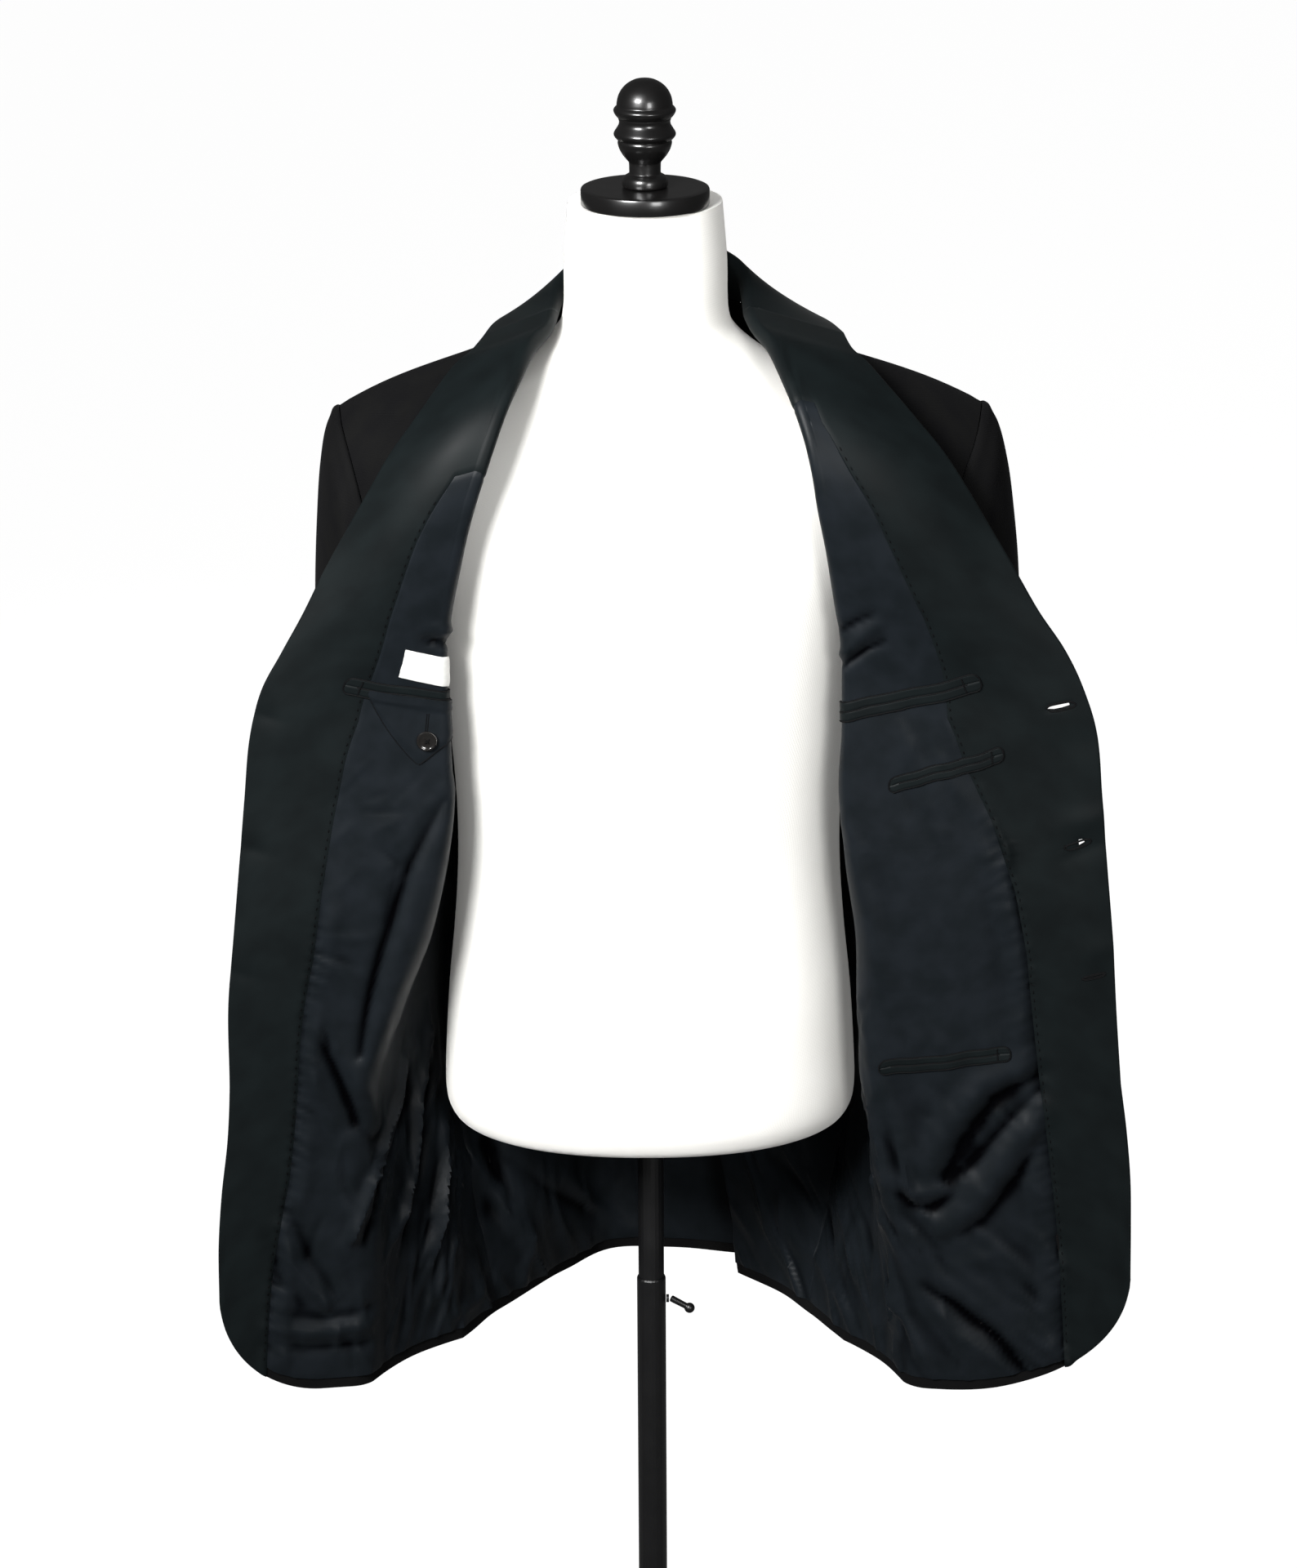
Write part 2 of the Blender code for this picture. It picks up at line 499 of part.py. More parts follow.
def round_corner(side, grid):
    """Round the front's lower corner and set the height of its hem."""
    reach, rise = CORNER[side]
    start = BODY_ROWS.index(17)
    rows = np.array(BODY_ROWS, dtype=float)
    share = np.clip((rows - rows[start]) / (HEM_ROW - rows[start]), 0, 1)
    lengths = distances(grid)
    inside = np.clip(1 - lengths[-1] / reach, 0, 1)
    lift = rise * (1 - np.sqrt(1 - inside**2))
    fade = np.clip(1 - lengths[-1] / DROP_REACH[side], 0, 1)
    drop = FRONT_DROP[side] * fade * fade * (3 - 2 * fade)
    grid[:, :, 2] += share[:, None] * (lift - drop)[None, :]
    return grid


def distances(grid):
    """Return each point's distance from the front edge, along its row."""
    steps = np.linalg.norm(np.diff(grid, axis=1), axis=2)
    return np.concatenate([np.zeros((len(grid), 1)), np.cumsum(steps, axis=1)], axis=1)


def normals(grid):
    """Return the outward directions of a grid whose rows run down and columns run backwards."""
    down = np.gradient(grid, axis=0)
    across = np.gradient(grid, axis=1)
    facing = np.cross(down, across)
    size = np.linalg.norm(facing, axis=2, keepdims=True)
    return facing / np.maximum(size, 1e-12)


def mirrored(side, array):
    """Turn outward x into world x."""
    return array * np.array([1.0 if side == "right" else -1.0, 1.0, 1.0])


SATIN_SEAM = len(FACING_STEPS) - 1
FOLD_START = SATIN_SEAM + len(FLAP_STEPS)
FOLD_END = FOLD_START + ARC_SEGMENTS
TURNED = FOLD_END + 1
SEAM = FOLD_END + BASE_SEGMENTS
SIDE_SEAM = SEAM + SIDE_SEGMENTS
CENTRE = SIDE_SEAM + BACK_SEGMENTS
FOOT_INDEX = BODY_ROWS.index(ARMHOLE_FOOT)
VENT_INDEX = BODY_ROWS.index(17)
COLLAR_COUNT = len(COLLAR_STEPS)


def collar_path(side, row):
    """Return a row of the collar: free edge, roll line, foot of the stand."""
    edge, fold, foot, bend, crown = front_anchor(side, row, COLLAR_TABLE, COLLAR_COLUMNS, "foot")
    turn = belt(edge, fold, foot, bend)
    fall = [edge + (turn[0] - edge) * t for t in flap_steps(COLLAR_SEAM)]
    short = 1 - FOOT_CLEARANCE / max(np.linalg.norm(foot - turn[-1]), 0.003)
    return fall + turn[1:] + [turn[-1] + (foot - turn[-1]) * short]


def shawl_grid(side, body):
    """Return the strip of the shawl from the centre back over the shoulder to the hem."""
    collar = [collar_path(side, row) for row in COLLAR_STEPS[::-1]]
    return np.vstack([np.array(collar), body[:, :TURNED + 1]])


def body_normals(body, shawl):
    """Return a half's outward directions: level along the centre seam, one with the collar's."""
    facing = normals(body)
    facing[:VENT_INDEX + 1, CENTRE, 0] = 0
    facing[0, :TURNED + 1] = shawl[COLLAR_COUNT]
    return facing / np.linalg.norm(facing, axis=2, keepdims=True)


def shawl_normals(shawl):
    """Return the strip's outward directions, level at the centre back."""
    facing = normals(shawl)
    facing[0, :, 0] = 0
    return facing / np.linalg.norm(facing, axis=2, keepdims=True)


GRIDS = {side: body_grid(side) for side in ("left", "right")}
SHAWLS = {side: shawl_grid(side, GRIDS[side]) for side in GRIDS}
SHAWL_FACINGS = {side: shawl_normals(SHAWLS[side]) for side in GRIDS}
FACINGS = {side: body_normals(GRIDS[side], SHAWL_FACINGS[side]) for side in GRIDS}


def drawn_in(points, cells, gap):
    """Draw the border of the chosen cells in by the seam gap."""
    rows, columns = points.shape[:2]
    down = np.gradient(points, axis=0)
    across = np.gradient(points, axis=1)
    down /= np.maximum(np.linalg.norm(down, axis=2, keepdims=True), 1e-9)
    across /= np.maximum(np.linalg.norm(across, axis=2, keepdims=True), 1e-9)
    skew = np.sum(down * across, axis=2, keepdims=True)
    down, across = down - across * skew, across - down * skew
    down /= np.maximum(np.linalg.norm(down, axis=2, keepdims=True), 1e-9)
    across /= np.maximum(np.linalg.norm(across, axis=2, keepdims=True), 1e-9)
    padded = np.zeros((rows + 1, columns + 1), dtype=int)
    padded[1:-1, 1:-1] = cells
    above = padded[:-1, :-1] + padded[:-1, 1:]
    below = padded[1:, :-1] + padded[1:, 1:]
    before = padded[:-1, :-1] + padded[1:, :-1]
    beyond = padded[:-1, 1:] + padded[1:, 1:]
    lower = np.sign(below - above)[:, :, None]
    further = np.sign(beyond - before)[:, :, None]
    return points + (down * lower + across * further) * gap


def wall(name, points, directions, cells, layer, finish, flip, turned_rows=0, gap=SEAM_GAP):
    """Make a cloth wall over the chosen cells of a grid, between two offsets of its points."""
    rows, columns = points.shape[:2]
    points = drawn_in(points, cells, gap)
    near = (points + directions * layer[0]).reshape(-1, 3)
    far = (points + directions * layer[1]).reshape(-1, 3)
    skin = []
    for i, j in zip(*np.nonzero(cells)):
        a = int(i) * columns + int(j)
        b, c, d = a + 1, a + columns + 1, a + columns
        skin += [(a, b, d), (b, c, d)] if i < turned_rows else [(a, b, c), (a, c, d)]
    edges = {edge for face in skin for edge in zip(face, face[1:] + face[:1])}
    used = sorted({vertex for face in skin for vertex in face})
    place = {vertex: k for k, vertex in enumerate(used)}
    count = len(used)
    faces = [tuple(place[v] for v in face) for face in skin]
    faces += [tuple(count + place[v] for v in face[::-1]) for face in skin]
    for a, b in sorted(edges):
        if (b, a) not in edges:
            a, b = place[a], place[b]
            faces += [(b, a, count + a), (b, count + a, count + b)]
    if flip:
        faces = [face[::-1] for face in faces]
    return add_object(name, np.vstack([near[used], far[used]]), faces, finish)


def half_wall(name, side, points, directions, cells, layer, finish):
    """Make a wall of one half of the jacket, from points with x measured outwards."""
    outward = layer[1] > layer[0]
    flip = outward == (side == "left")
    wall(name, mirrored(side, points), mirrored(side, directions), cells, layer, finish, flip)


def span(grid, rows, columns):
    """Choose a block of a grid's cells."""
    cells = np.zeros((grid.shape[0] - 1, grid.shape[1] - 1), dtype=bool)
    cells[rows[0]:rows[1], columns[0]:columns[1]] = True
    return cells


def wool_panels():
    """Make the wool fronts, side panels and backs."""
    last = len(BODY_ROWS) - 1
    for side, grid in GRIDS.items():
        pieces = {
            "front": span(grid, (0, last), (0, SEAM)),
            "side": span(grid, (FOOT_INDEX, last), (SEAM, SIDE_SEAM)),
            "back": span(grid, (0, last), (SIDE_SEAM, CENTRE)),
        }
        for piece, cells in pieces.items():
            half_wall(f"{piece}_{side}", side, grid, FACINGS[side], cells, WOOL, "wool")


def under_collar():
    """Make the under collar in one piece from shoulder to shoulder."""
    halves = {side: SHAWLS[side][:COLLAR_COUNT] for side in SHAWLS}
    ways = {side: SHAWL_FACINGS[side][:COLLAR_COUNT] for side in SHAWLS}
    points = np.vstack([mirrored("left", halves["left"])[::-1], mirrored("right", halves["right"])[1:]])
    directions = np.vstack([mirrored("left", ways["left"])[::-1], mirrored("right", ways["right"])[1:]])
    cells = np.ones((len(points) - 1, points.shape[1] - 1), dtype=bool)
    wall("under_collar", points, directions, cells, WOOL, "wool", False, COLLAR_COUNT - 1)


def satin_facings():
    """Make each half of the shawl: the top collar and the facing down to the round corner."""
    for side, grid in SHAWLS.items():
        whole = COLLAR_COUNT + BODY_ROWS.index(FACING_TO_FOLD[side])
        cells = span(grid, (0, whole), (0, TURNED))
        cells |= span(grid, (whole, len(grid) - 1), (0, SATIN_SEAM))
        directions = SHAWL_FACINGS[side].copy()
        directions[COLLAR_COUNT:] = FACINGS[side][:, :TURNED + 1]
        half_wall(f"facing_{side}", side, grid, directions, cells, SATIN, "satin")


def lining_panels():
    """Make the linings of the fronts, the side panels and the backs."""
    last = len(BODY_ROWS) - 1
    for side, grid in GRIDS.items():
        grid = grid.copy()
        way = grid[-2] - grid[-1]
        grid[-1] += way / np.linalg.norm(way, axis=1, keepdims=True) * LINING_HEM
        top = BODY_ROWS.index(FACING_TO_FOLD[side])
        front = span(grid, (top, last), (SATIN_SEAM, TURNED))
        front |= span(grid, (FOOT_INDEX, last), (TURNED, SEAM))
        pieces = {
            "front_lining": front,
            "side_lining": span(grid, (FOOT_INDEX, last), (SEAM, SIDE_SEAM)),
            "back_lining": span(grid, (FOOT_INDEX, last), (SIDE_SEAM, CENTRE)),
        }
        for piece, cells in pieces.items():
            half_wall(f"{piece}_{side}", side, grid, FACINGS[side], cells, LINING, "lining")


def armhole(side, shares):
    """Return points round the armhole, from the shoulder down the front and up the back."""
    grid, facing = GRIDS[side], FACINGS[side]
    lifted = grid + facing * SLEEVE_STAND_OFF
    front = [lifted[i, SEAM] for i in range(FOOT_INDEX + 1)]
    foot = [lifted[FOOT_INDEX, j] for j in range(SEAM + 1, SIDE_SEAM + 1)]
    back = [lifted[i, SIDE_SEAM] for i in range(FOOT_INDEX - 1, 0, -1)]
    ring = np.array(front + foot + back + front[:1])
    lengths = np.concatenate([[0], np.cumsum(np.linalg.norm(np.diff(ring, axis=0), axis=1))])
    at = np.asarray(shares) % 1.0 * lengths[-1]
    return np.array([np.interp(at, lengths, ring[:, k]) for k in range(3)]).T


def sleeve_ring(side, row, angles):
    """Return one section of a sleeve at the given angles, from its outer side round the front."""
    read = {name: SLEEVE_ROWS[row][k] for k, name in enumerate(SLEEVE_COLUMNS)}
    shift = read["middle"] if side == "right" else -read["middle"]
    outer = read["outer"] + shift
    inner = read["inner"] + shift
    x = (outer + inner) / 2 + (outer - inner) / 2 * np.cos(angles)
    y = read["y"] - read["depth"] * np.sin(angles)
    z = (read["outer_z"] + read["inner_z"]) / 2 + (read["outer_z"] - read["inner_z"]) / 2 * np.cos(angles)
    return np.array([x, y, z]).T


def sleeve_grid(side, angles, steps):
    """Return a sleeve's points from the armhole to the cuff."""
    rings = [armhole(side, angles / (2 * math.pi))]
    rings += [sleeve_ring(side, row, angles) for row in range(len(SLEEVE_ROWS))]
    rings = np.array(rings)
    names = tuple(range(len(angles)))
    made = [
        [[float(column(names, rings[:, :, k], j, step)) for k in range(3)] for j in names]
        for step in steps
    ]
    return np.array(made)


def sleeves():
    """Make the upper sleeves and the under sleeves."""
    first, last = UPPER_SLEEVE_ARC
    upper = np.linspace(first, last, UPPER_SEGMENTS + 1)
    under = np.linspace(last, first + 360.0, UNDER_SEGMENTS + 1)
    angles = np.radians(np.concatenate([[under[-2] - 360.0], upper, under[1:], [upper[1] + 360.0]]))
    spans = {
        "upper_sleeve": (1, UPPER_SEGMENTS + 1),
        "under_sleeve": (UPPER_SEGMENTS + 1, UPPER_SEGMENTS + UNDER_SEGMENTS + 1),
    }
    for side in GRIDS:
        grid = sleeve_grid(side, angles, SLEEVE_STEPS)
        points = mirrored(side, grid)
        directions = mirrored(side, -normals(grid))
        for piece, columns in spans.items():
            cells = span(grid, (0, len(grid) - 1), columns)
            name, flip = f"{piece}_{side}", side == "right"
            wall(name, points, directions, cells, WOOL, "wool", flip, gap=SLEEVE_SEAM_GAP)


def row_lengths(side, z):
    """Return each column's distance from the front edge at a height."""
    row = int(np.argmin(abs(GRIDS[side][:, SATIN_SEAM, 2] - z)))
    steps = np.linalg.norm(np.diff(GRIDS[side][row], axis=0), axis=1)
    return np.concatenate([[0], np.cumsum(steps)])


def column_at(side, distance, z):
    """Return the fractional column that lies at a distance from the front edge, at a height."""
    lengths = row_lengths(side, z)
    return float(np.interp(distance, lengths, np.arange(len(lengths))))


def on_cloth(side, at, z):
    """Return the cloth's point and direction at a fractional column and a height."""
    low = min(int(at), GRIDS[side].shape[1] - 2)
    t = at - low
    lane = GRIDS[side][:, low] * (1 - t) + GRIDS[side][:, low + 1] * t
    ways = FACINGS[side][:, low] * (1 - t) + FACINGS[side][:, low + 1] * t
    below = int(np.argmax(lane[:, 2] < z))
    s = (lane[below - 1, 2] - z) / (lane[below - 1, 2] - lane[below, 2])
    point = lane[below - 1] * (1 - s) + lane[below] * s
    return point, unit(ways[below - 1] * (1 - s) + ways[below] * s)


def patch(name, side, rows, layer, finish):
    """Make a piece that lies on the cloth, from rows of (column, height) places."""
    found = [[on_cloth(side, at, z) for at, z in row] for row in rows]
    points = np.array([[place[0] for place in row] for row in found])
    directions = np.array([[place[1] for place in row] for row in found])
    cells = np.ones((len(points) - 1, points.shape[1] - 1), dtype=bool)
    half_wall(name, side, points, directions, cells, layer, finish)


def lane_steps(side, d0, z0, d1, z1, shares):
    """Return columns and heights from one place to another, with one at each step of the fold."""
    start, end = column_at(side, d0, z0), column_at(side, d1, z1)
    ats = {round(column_at(side, d0 + (d1 - d0) * t, z0 + (z1 - z0) * t), 4) for t in shares}
    turns = {float(k) for k in range(FOLD_START, FOLD_END + 1) if start < k < end}
    ats = sorted({at for at in ats if all(abs(at - k) > 0.3 for k in turns)} | turns)
    return [(at, line_height(side, at, d0, z0, d1, z1)) for at in ats]


def line_height(side, at, d0, z0, d1, z1):
    """Return a straight line's height where it crosses a column."""
    lengths = row_lengths(side, (z0 + z1) / 2)
    return float(np.interp(np.interp(at, np.arange(len(lengths)), lengths), [d0, d1], [z0, z1]))


def pockets():
    """Make the pocket welts with their round ends."""
    shares = (0.0, 0.03, 0.10, 0.25, 0.40, 0.55, 0.70, 0.90, 0.97, 1.0)
    for name, (side, d0, z0, d1, z1, width) in POCKETS.items():
        lane = lane_steps(side, d0, z0, d1, z1, shares)
        first, last = lane[0][0], lane[-1][0]
        rows = []
        for part in (0.5, 0.0, -0.5):
            row = []
            for at, z in lane:
                end = min(at - first, last - at)
                round_end = min(1.0, 0.45 + end / WELT_END_COLUMNS)
                row.append((at, z + part * width * round_end))
            rows.append(row)
        patch(name, side, rows, SEWN_ON, "satin")


def pocket_tab():
    """Make the pointed tab that buttons the left inner pocket."""
    lane = lane_steps("left", *TAB_FROM, *TAB_TO, (0, 0.12, 0.3, 0.5, 0.7, 0.88, 1.0))
    pocket = POCKETS["inner_pocket_left"]
    below = pocket[5] / 2 + TAB_SPACE
    lane = [(at, line_height("left", at, *pocket[1:5]) - below) for at, _ in lane]
    first, last = lane[0][0], lane[-1][0]
    centre = (TAB_FROM[0] + TAB_TO[0]) / 2
    top = (TAB_FROM[1] + TAB_TO[1]) / 2
    middle = column_at("left", centre, top)
    aside = column_at("left", *TAB_TIP) - middle
    rows = []
    for level in (0.0, 0.35, 0.7, 1.0):
        row = []
        for at, z in lane:
            reach = (at - first) / (middle - first) if at < middle else (last - at) / (last - middle)
            drop = TAB_SHOULDER + (top - TAB_TIP[1] - TAB_SHOULDER) * reach
            row.append((at + aside * level * reach, z - level * drop))
        rows.append(row)
    patch("pocket_tab", "left", rows, TAB_ON, "lining")


def label():
    """Make the bare label on the left lining."""
    d0, z0 = LABEL_FROM
    width, height = LABEL_SIZE
    far_z = z0 - LABEL_SLOPE * width
    lane = lane_steps("left", d0, z0, d0 + width, far_z, (0, 0.2, 0.4, 0.6, 0.8, 1.0))
    first = lane[0][0]
    aside = column_at("left", d0 + LABEL_LEAN, z0 - height) - first
    rows = []
    for s in (0, 0.5, 1):
        flat = [max((FOLD_START - at) / (FOLD_START - first), 0) for at, _ in lane]
        rows.append([(at + aside * s * share, z - height * s) for (at, z), share in zip(lane, flat)])
    patch("label", "left", rows, SEWN_ON, "label")


def button(name, side, distance, z, radius, outward, offset):
    """Make a domed button that stands on the cloth."""
    point, direction = on_cloth(side, column_at(side, distance, z), z)
    point = mirrored(side, point)
    axis = mirrored(side, direction) * (1.0 if outward else -1.0)
    profile = ((0.72, 0.0), (0.95, 0.12), (1.0, 0.20), (0.93, 0.30), (0.62, 0.40))
    rings = [(r * radius, h * radius) for r, h in profile]
    lathe(name, point + axis * offset, axis, rings, 0.44 * radius, 16, "button")


def lathe(name, start, axis, rings, top, sides, finish):
    """Make a turned solid from rings of radius and height, with a flat foot and a rounded top."""
    axis = unit(np.asarray(axis, dtype=float))
    helper = np.array([0.0, 0.0, 1.0]) if abs(axis[2]) < 0.9 else np.array([1.0, 0.0, 0.0])
    first = unit(np.cross(helper, axis))
    second = np.cross(axis, first)
    start = np.asarray(start, dtype=float)
    points = []
    for radius, height in rings:
        for k in range(sides):
            a = 2 * math.pi * k / sides
            points.append(start + axis * height + (first * math.cos(a) + second * math.sin(a)) * radius)
    foot = len(points)
    points.append(start + axis * rings[0][1])
    points.append(start + axis * top)
    faces = []
    for i in range(len(rings) - 1):
        for k in range(sides):
            a, b = i * sides + k, i * sides + (k + 1) % sides
            faces.append((a, b, b + sides, a + sides))
    last = (len(rings) - 1) * sides
    for k in range(sides):
        following = (k + 1) % sides
        faces.append((foot, following, k))
        faces.append((foot + 1, last + k, last + following))
    return add_object(name, points, faces, finish)


def move_origin(item, place):
    """Put an object's origin at a place, on its joint's axis, and leave its shape where it is."""
    for vertex in item.data.vertices:
        vertex.co -= Vector(place)
    item.location = place


def buttons():
    """Make the three front buttons and the button of the pocket tab."""
    for number, z in enumerate(FRONT_BUTTON_Z, start=1):
        button(f"front_button_{number}", "left", FRONT_BUTTON_D, z, FRONT_BUTTON_R, True, WOOL[1] + GAP)
    button("inner_button", "left", *INNER_BUTTON, INNER_BUTTON_R, False, GAP - TAB_ON[1])


def torso():
    """Make the padded form as sections from the neck down."""
    rows = []
    for z, half, front, back, power in TORSO_ROWS:
        middle = (front + back) / 2
        depth = (back - front) / 2
        for k in range(TORSO_SIDES):
            a = 2 * math.pi * k / TORSO_SIDES
            x = half * math.copysign(abs(math.cos(a)) ** (2 / power), math.cos(a))
            y = middle + depth * math.copysign(abs(math.sin(a)) ** (2 / power), math.sin(a))
            rows.append((x, y, z))
    levels = len(TORSO_ROWS)
    faces = []
    for i in range(levels - 1):
        for k in range(TORSO_SIDES):
            a, b = i * TORSO_SIDES + k, i * TORSO_SIDES + (k + 1) % TORSO_SIDES
            faces.append((a, a + TORSO_SIDES, b + TORSO_SIDES, b))
    faces.append(tuple(range(TORSO_SIDES)))
    faces.append(tuple(reversed(range((levels - 1) * TORSO_SIDES, levels * TORSO_SIDES))))
    add_object("torso_form", rows, faces, "jersey")


def stand():
    """Make the neck cap, finial, both tubes, the clamp's stud and lever, and the base."""
    up = (0, 0, 1)
    rim = 0.0012
    cap = [(CAP_R - rim, 0), (CAP_R, rim), (CAP_R, CAP_THICK - rim), (CAP_R - rim, CAP_THICK)]
    lathe("neck_cap", (0, 0, CAP_Z), up, cap, CAP_THICK, 36, "turned_wood")
    lathe("finial", (0, 0, CAP_Z + CAP_THICK), up, FINIAL_PROFILE, FINIAL_TOP, 20, "turned_wood")
    rod_height = FORM_BOTTOM_Z - GAP - INNER_TUBE_BOTTOM_Z
    rod = [(INNER_TUBE_R, 0), (INNER_TUBE_R, rod_height)]
    lathe("inner_tube", (0, 0, INNER_TUBE_BOTTOM_Z), up, rod, rod_height, 20, "pole_steel")
    outer_tube()
    base = [
        (BASE_R, 0), (BASE_R, BASE_THICK - 0.004), (BASE_R - 0.006, BASE_THICK), (HUB_R + 0.012, BASE_THICK + 0.004),
        (HUB_R, BASE_THICK + 0.012), (HUB_R, HUB_TOP_Z - 0.003), (HUB_R - 0.003, HUB_TOP_Z),
    ]
    lathe("stand_base", (0, 0, 0), up, base, HUB_TOP_Z, 36, "base_iron")
    stud_start = OUTER_TUBE_R + GAP
    stud = [(CLAMP_STUD_R, 0), (CLAMP_STUD_R, CLAMP_STUD_END_X - stud_start)]
    made = lathe("clamp_stud", (stud_start, 0, CLAMP_Z), (1, 0, 0), stud, stud[-1][1], 16, "pole_steel")
    move_origin(made, (0, 0, CLAMP_Z))
    direction = np.array([math.cos(LEVER_DROP), 0, -math.sin(LEVER_DROP)])
    first = CLAMP_STUD_END_X + GAP + LEVER_R * math.sin(LEVER_DROP)
    ball = [
        (LEVER_BALL_R * math.cos(a), LEVER_LENGTH + LEVER_BALL_R * math.sin(a))
        for a in np.radians((-53, -30, 0, 30, 60))
    ]
    lever = [(LEVER_R, 0)] + ball
    top = LEVER_LENGTH + LEVER_BALL_R
    made = lathe("clamp_lever", (first, 0, CLAMP_Z), direction, lever, top, 12, "pole_steel")
    move_origin(made, (0, 0, CLAMP_Z))


def outer_tube():
    """Make the lower tube with its bore."""
    sides = 24
    bottom = HUB_TOP_Z + GAP
    profile = (
        (OUTER_TUBE_BORE_R, TUBE_TOP_Z), (OUTER_TUBE_R - TUBE_CHAMFER, TUBE_TOP_Z),
        (OUTER_TUBE_R, TUBE_TOP_Z - 2 * TUBE_CHAMFER), (OUTER_TUBE_R, bottom), (OUTER_TUBE_BORE_R, bottom),
    )
    points = []
    for radius, z in profile:
        for k in range(sides):
            a = 2 * math.pi * k / sides
            points.append((radius * math.cos(a), radius * math.sin(a), z))
    faces = []
    for i in range(len(profile)):
        for k in range(sides):
            a = i * sides + k
            b = i * sides + (k + 1) % sides
            c = (i + 1) % len(profile) * sides + (k + 1) % sides
            d = (i + 1) % len(profile) * sides + k
            faces.append((a, d, c, b))
    add_object("outer_tube", points, faces, "pole_steel")


def main():
    """Build the jacket, the form and the stand."""
    clear_scene()
    wool_panels()
    under_collar()
    satin_facings()
    lining_panels()
    sleeves()
    pockets()
    pocket_tab()
    label()
    buttons()
    torso()
    stand()


main()
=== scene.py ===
# %% [markdown]
# # An evening jacket with a satin shawl facing, worn open on a tailor's form
#
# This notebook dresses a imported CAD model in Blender. The CAD gives every piece its place; here the
# same pieces are cut again from finer cloth, with folds, sewing and real finishes. Lengths are
# metres, +X is the viewer's right and the front faces -Y. Left and right are the viewer's.

import math

import bpy
import numpy as np
from mathutils import Matrix, Vector


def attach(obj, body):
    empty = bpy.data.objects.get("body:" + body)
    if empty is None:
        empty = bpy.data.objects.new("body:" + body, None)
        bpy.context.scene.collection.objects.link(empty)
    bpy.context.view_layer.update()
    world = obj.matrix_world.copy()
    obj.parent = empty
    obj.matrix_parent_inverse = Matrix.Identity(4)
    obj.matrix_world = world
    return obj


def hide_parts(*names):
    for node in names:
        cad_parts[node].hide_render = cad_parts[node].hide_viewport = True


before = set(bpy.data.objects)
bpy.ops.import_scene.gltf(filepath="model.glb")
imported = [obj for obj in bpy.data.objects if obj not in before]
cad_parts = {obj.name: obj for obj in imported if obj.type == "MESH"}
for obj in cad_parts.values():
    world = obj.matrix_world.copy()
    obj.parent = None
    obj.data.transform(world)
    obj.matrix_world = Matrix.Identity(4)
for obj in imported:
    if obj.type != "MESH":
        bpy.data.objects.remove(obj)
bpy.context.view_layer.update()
print("nodes in the frame:", len(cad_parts))

# %% [markdown]
# ## Camera
# The photograph looks down at the jacket by about 19 degrees from 3.6 m in front of it, through a
# long lens. The tilt and a third of a degree of roll were fitted to the pole, the cap and the hem.

# %% Camera
SENSOR_MM, LENS_MM = 36.0, 121.125
TILT, ROLL = math.radians(71.3), math.radians(-0.33)
CAMERA_PLACE = (0.0, -3.6, 2.22)
FARTHEST_SEEN = 200.0
camera = bpy.data.objects.new("camera", bpy.data.cameras.new("camera"))
camera.data.sensor_width = SENSOR_MM
camera.data.lens = LENS_MM
camera.rotation_euler = (Matrix.Rotation(TILT, 3, "X") @ Matrix.Rotation(ROLL, 3, "Z")).to_euler()
camera.location = CAMERA_PLACE
camera.data.clip_end = FARTHEST_SEEN
bpy.context.scene.collection.objects.link(camera)
bpy.context.scene.camera = camera
print("camera:", tuple(round(v, 2) for v in camera.location))

# %% [markdown]
# ## Colours and nodes
# Colours are written as the hex codes that a screen shows. Shaders count in linear light, so one
# function turns each code into linear numbers. A second one adds a node, sets its settings and
# joins its sockets: every material below is built from it. A third joins nodes to the shader.

# %% Helpers for materials


def linear(code):
    """Turn a hex colour as a screen shows it into the linear one that shaders use."""
    parts = [int(code[k:k + 2], 16) / 255 for k in (1, 3, 5)]
    return [c / 12.92 if c <= 0.04045 else ((c + 0.055) / 1.055) ** 2.4 for c in parts] + [1.0]


def add_node(tree, kind, sockets=None, **settings):
    """Add a node with its settings. A socket's value is a number, a colour or another socket."""
    node = tree.nodes.new(kind)
    for name, value in settings.items():
        setattr(node, name, value)
    for name, value in (sockets or {}).items():
        if isinstance(value, bpy.types.NodeSocket):
            tree.links.new(value, node.inputs[name])
        else:
            node.inputs[name].default_value = value
    return node


def new_material(name, **sockets):
    """Make a material with one principled shader and return the material, its tree and shader."""
    made = bpy.data.materials.new(name)
    made.use_nodes = True
    shader = made.node_tree.nodes["Principled BSDF"]
    for socket, value in sockets.items():
        shader.inputs[socket.replace("_", " ")].default_value = value
    return made, made.node_tree, shader


def join(tree, shader, **sources):
    """Join other nodes' sockets to the shader's."""
    for socket, source in sources.items():
        tree.links.new(source, shader.inputs[socket.replace("_", " ")])


# %% [markdown]
# ## Studio
# The photograph is taken in a white studio: the ground burns out to white, and big soft lights
# leave wide, dim sheens on the black cloth. The floor is a large white sheet. Its weak glow keeps
# it white where the lights fall off. The world is dim for the cloth, so that black stays black.

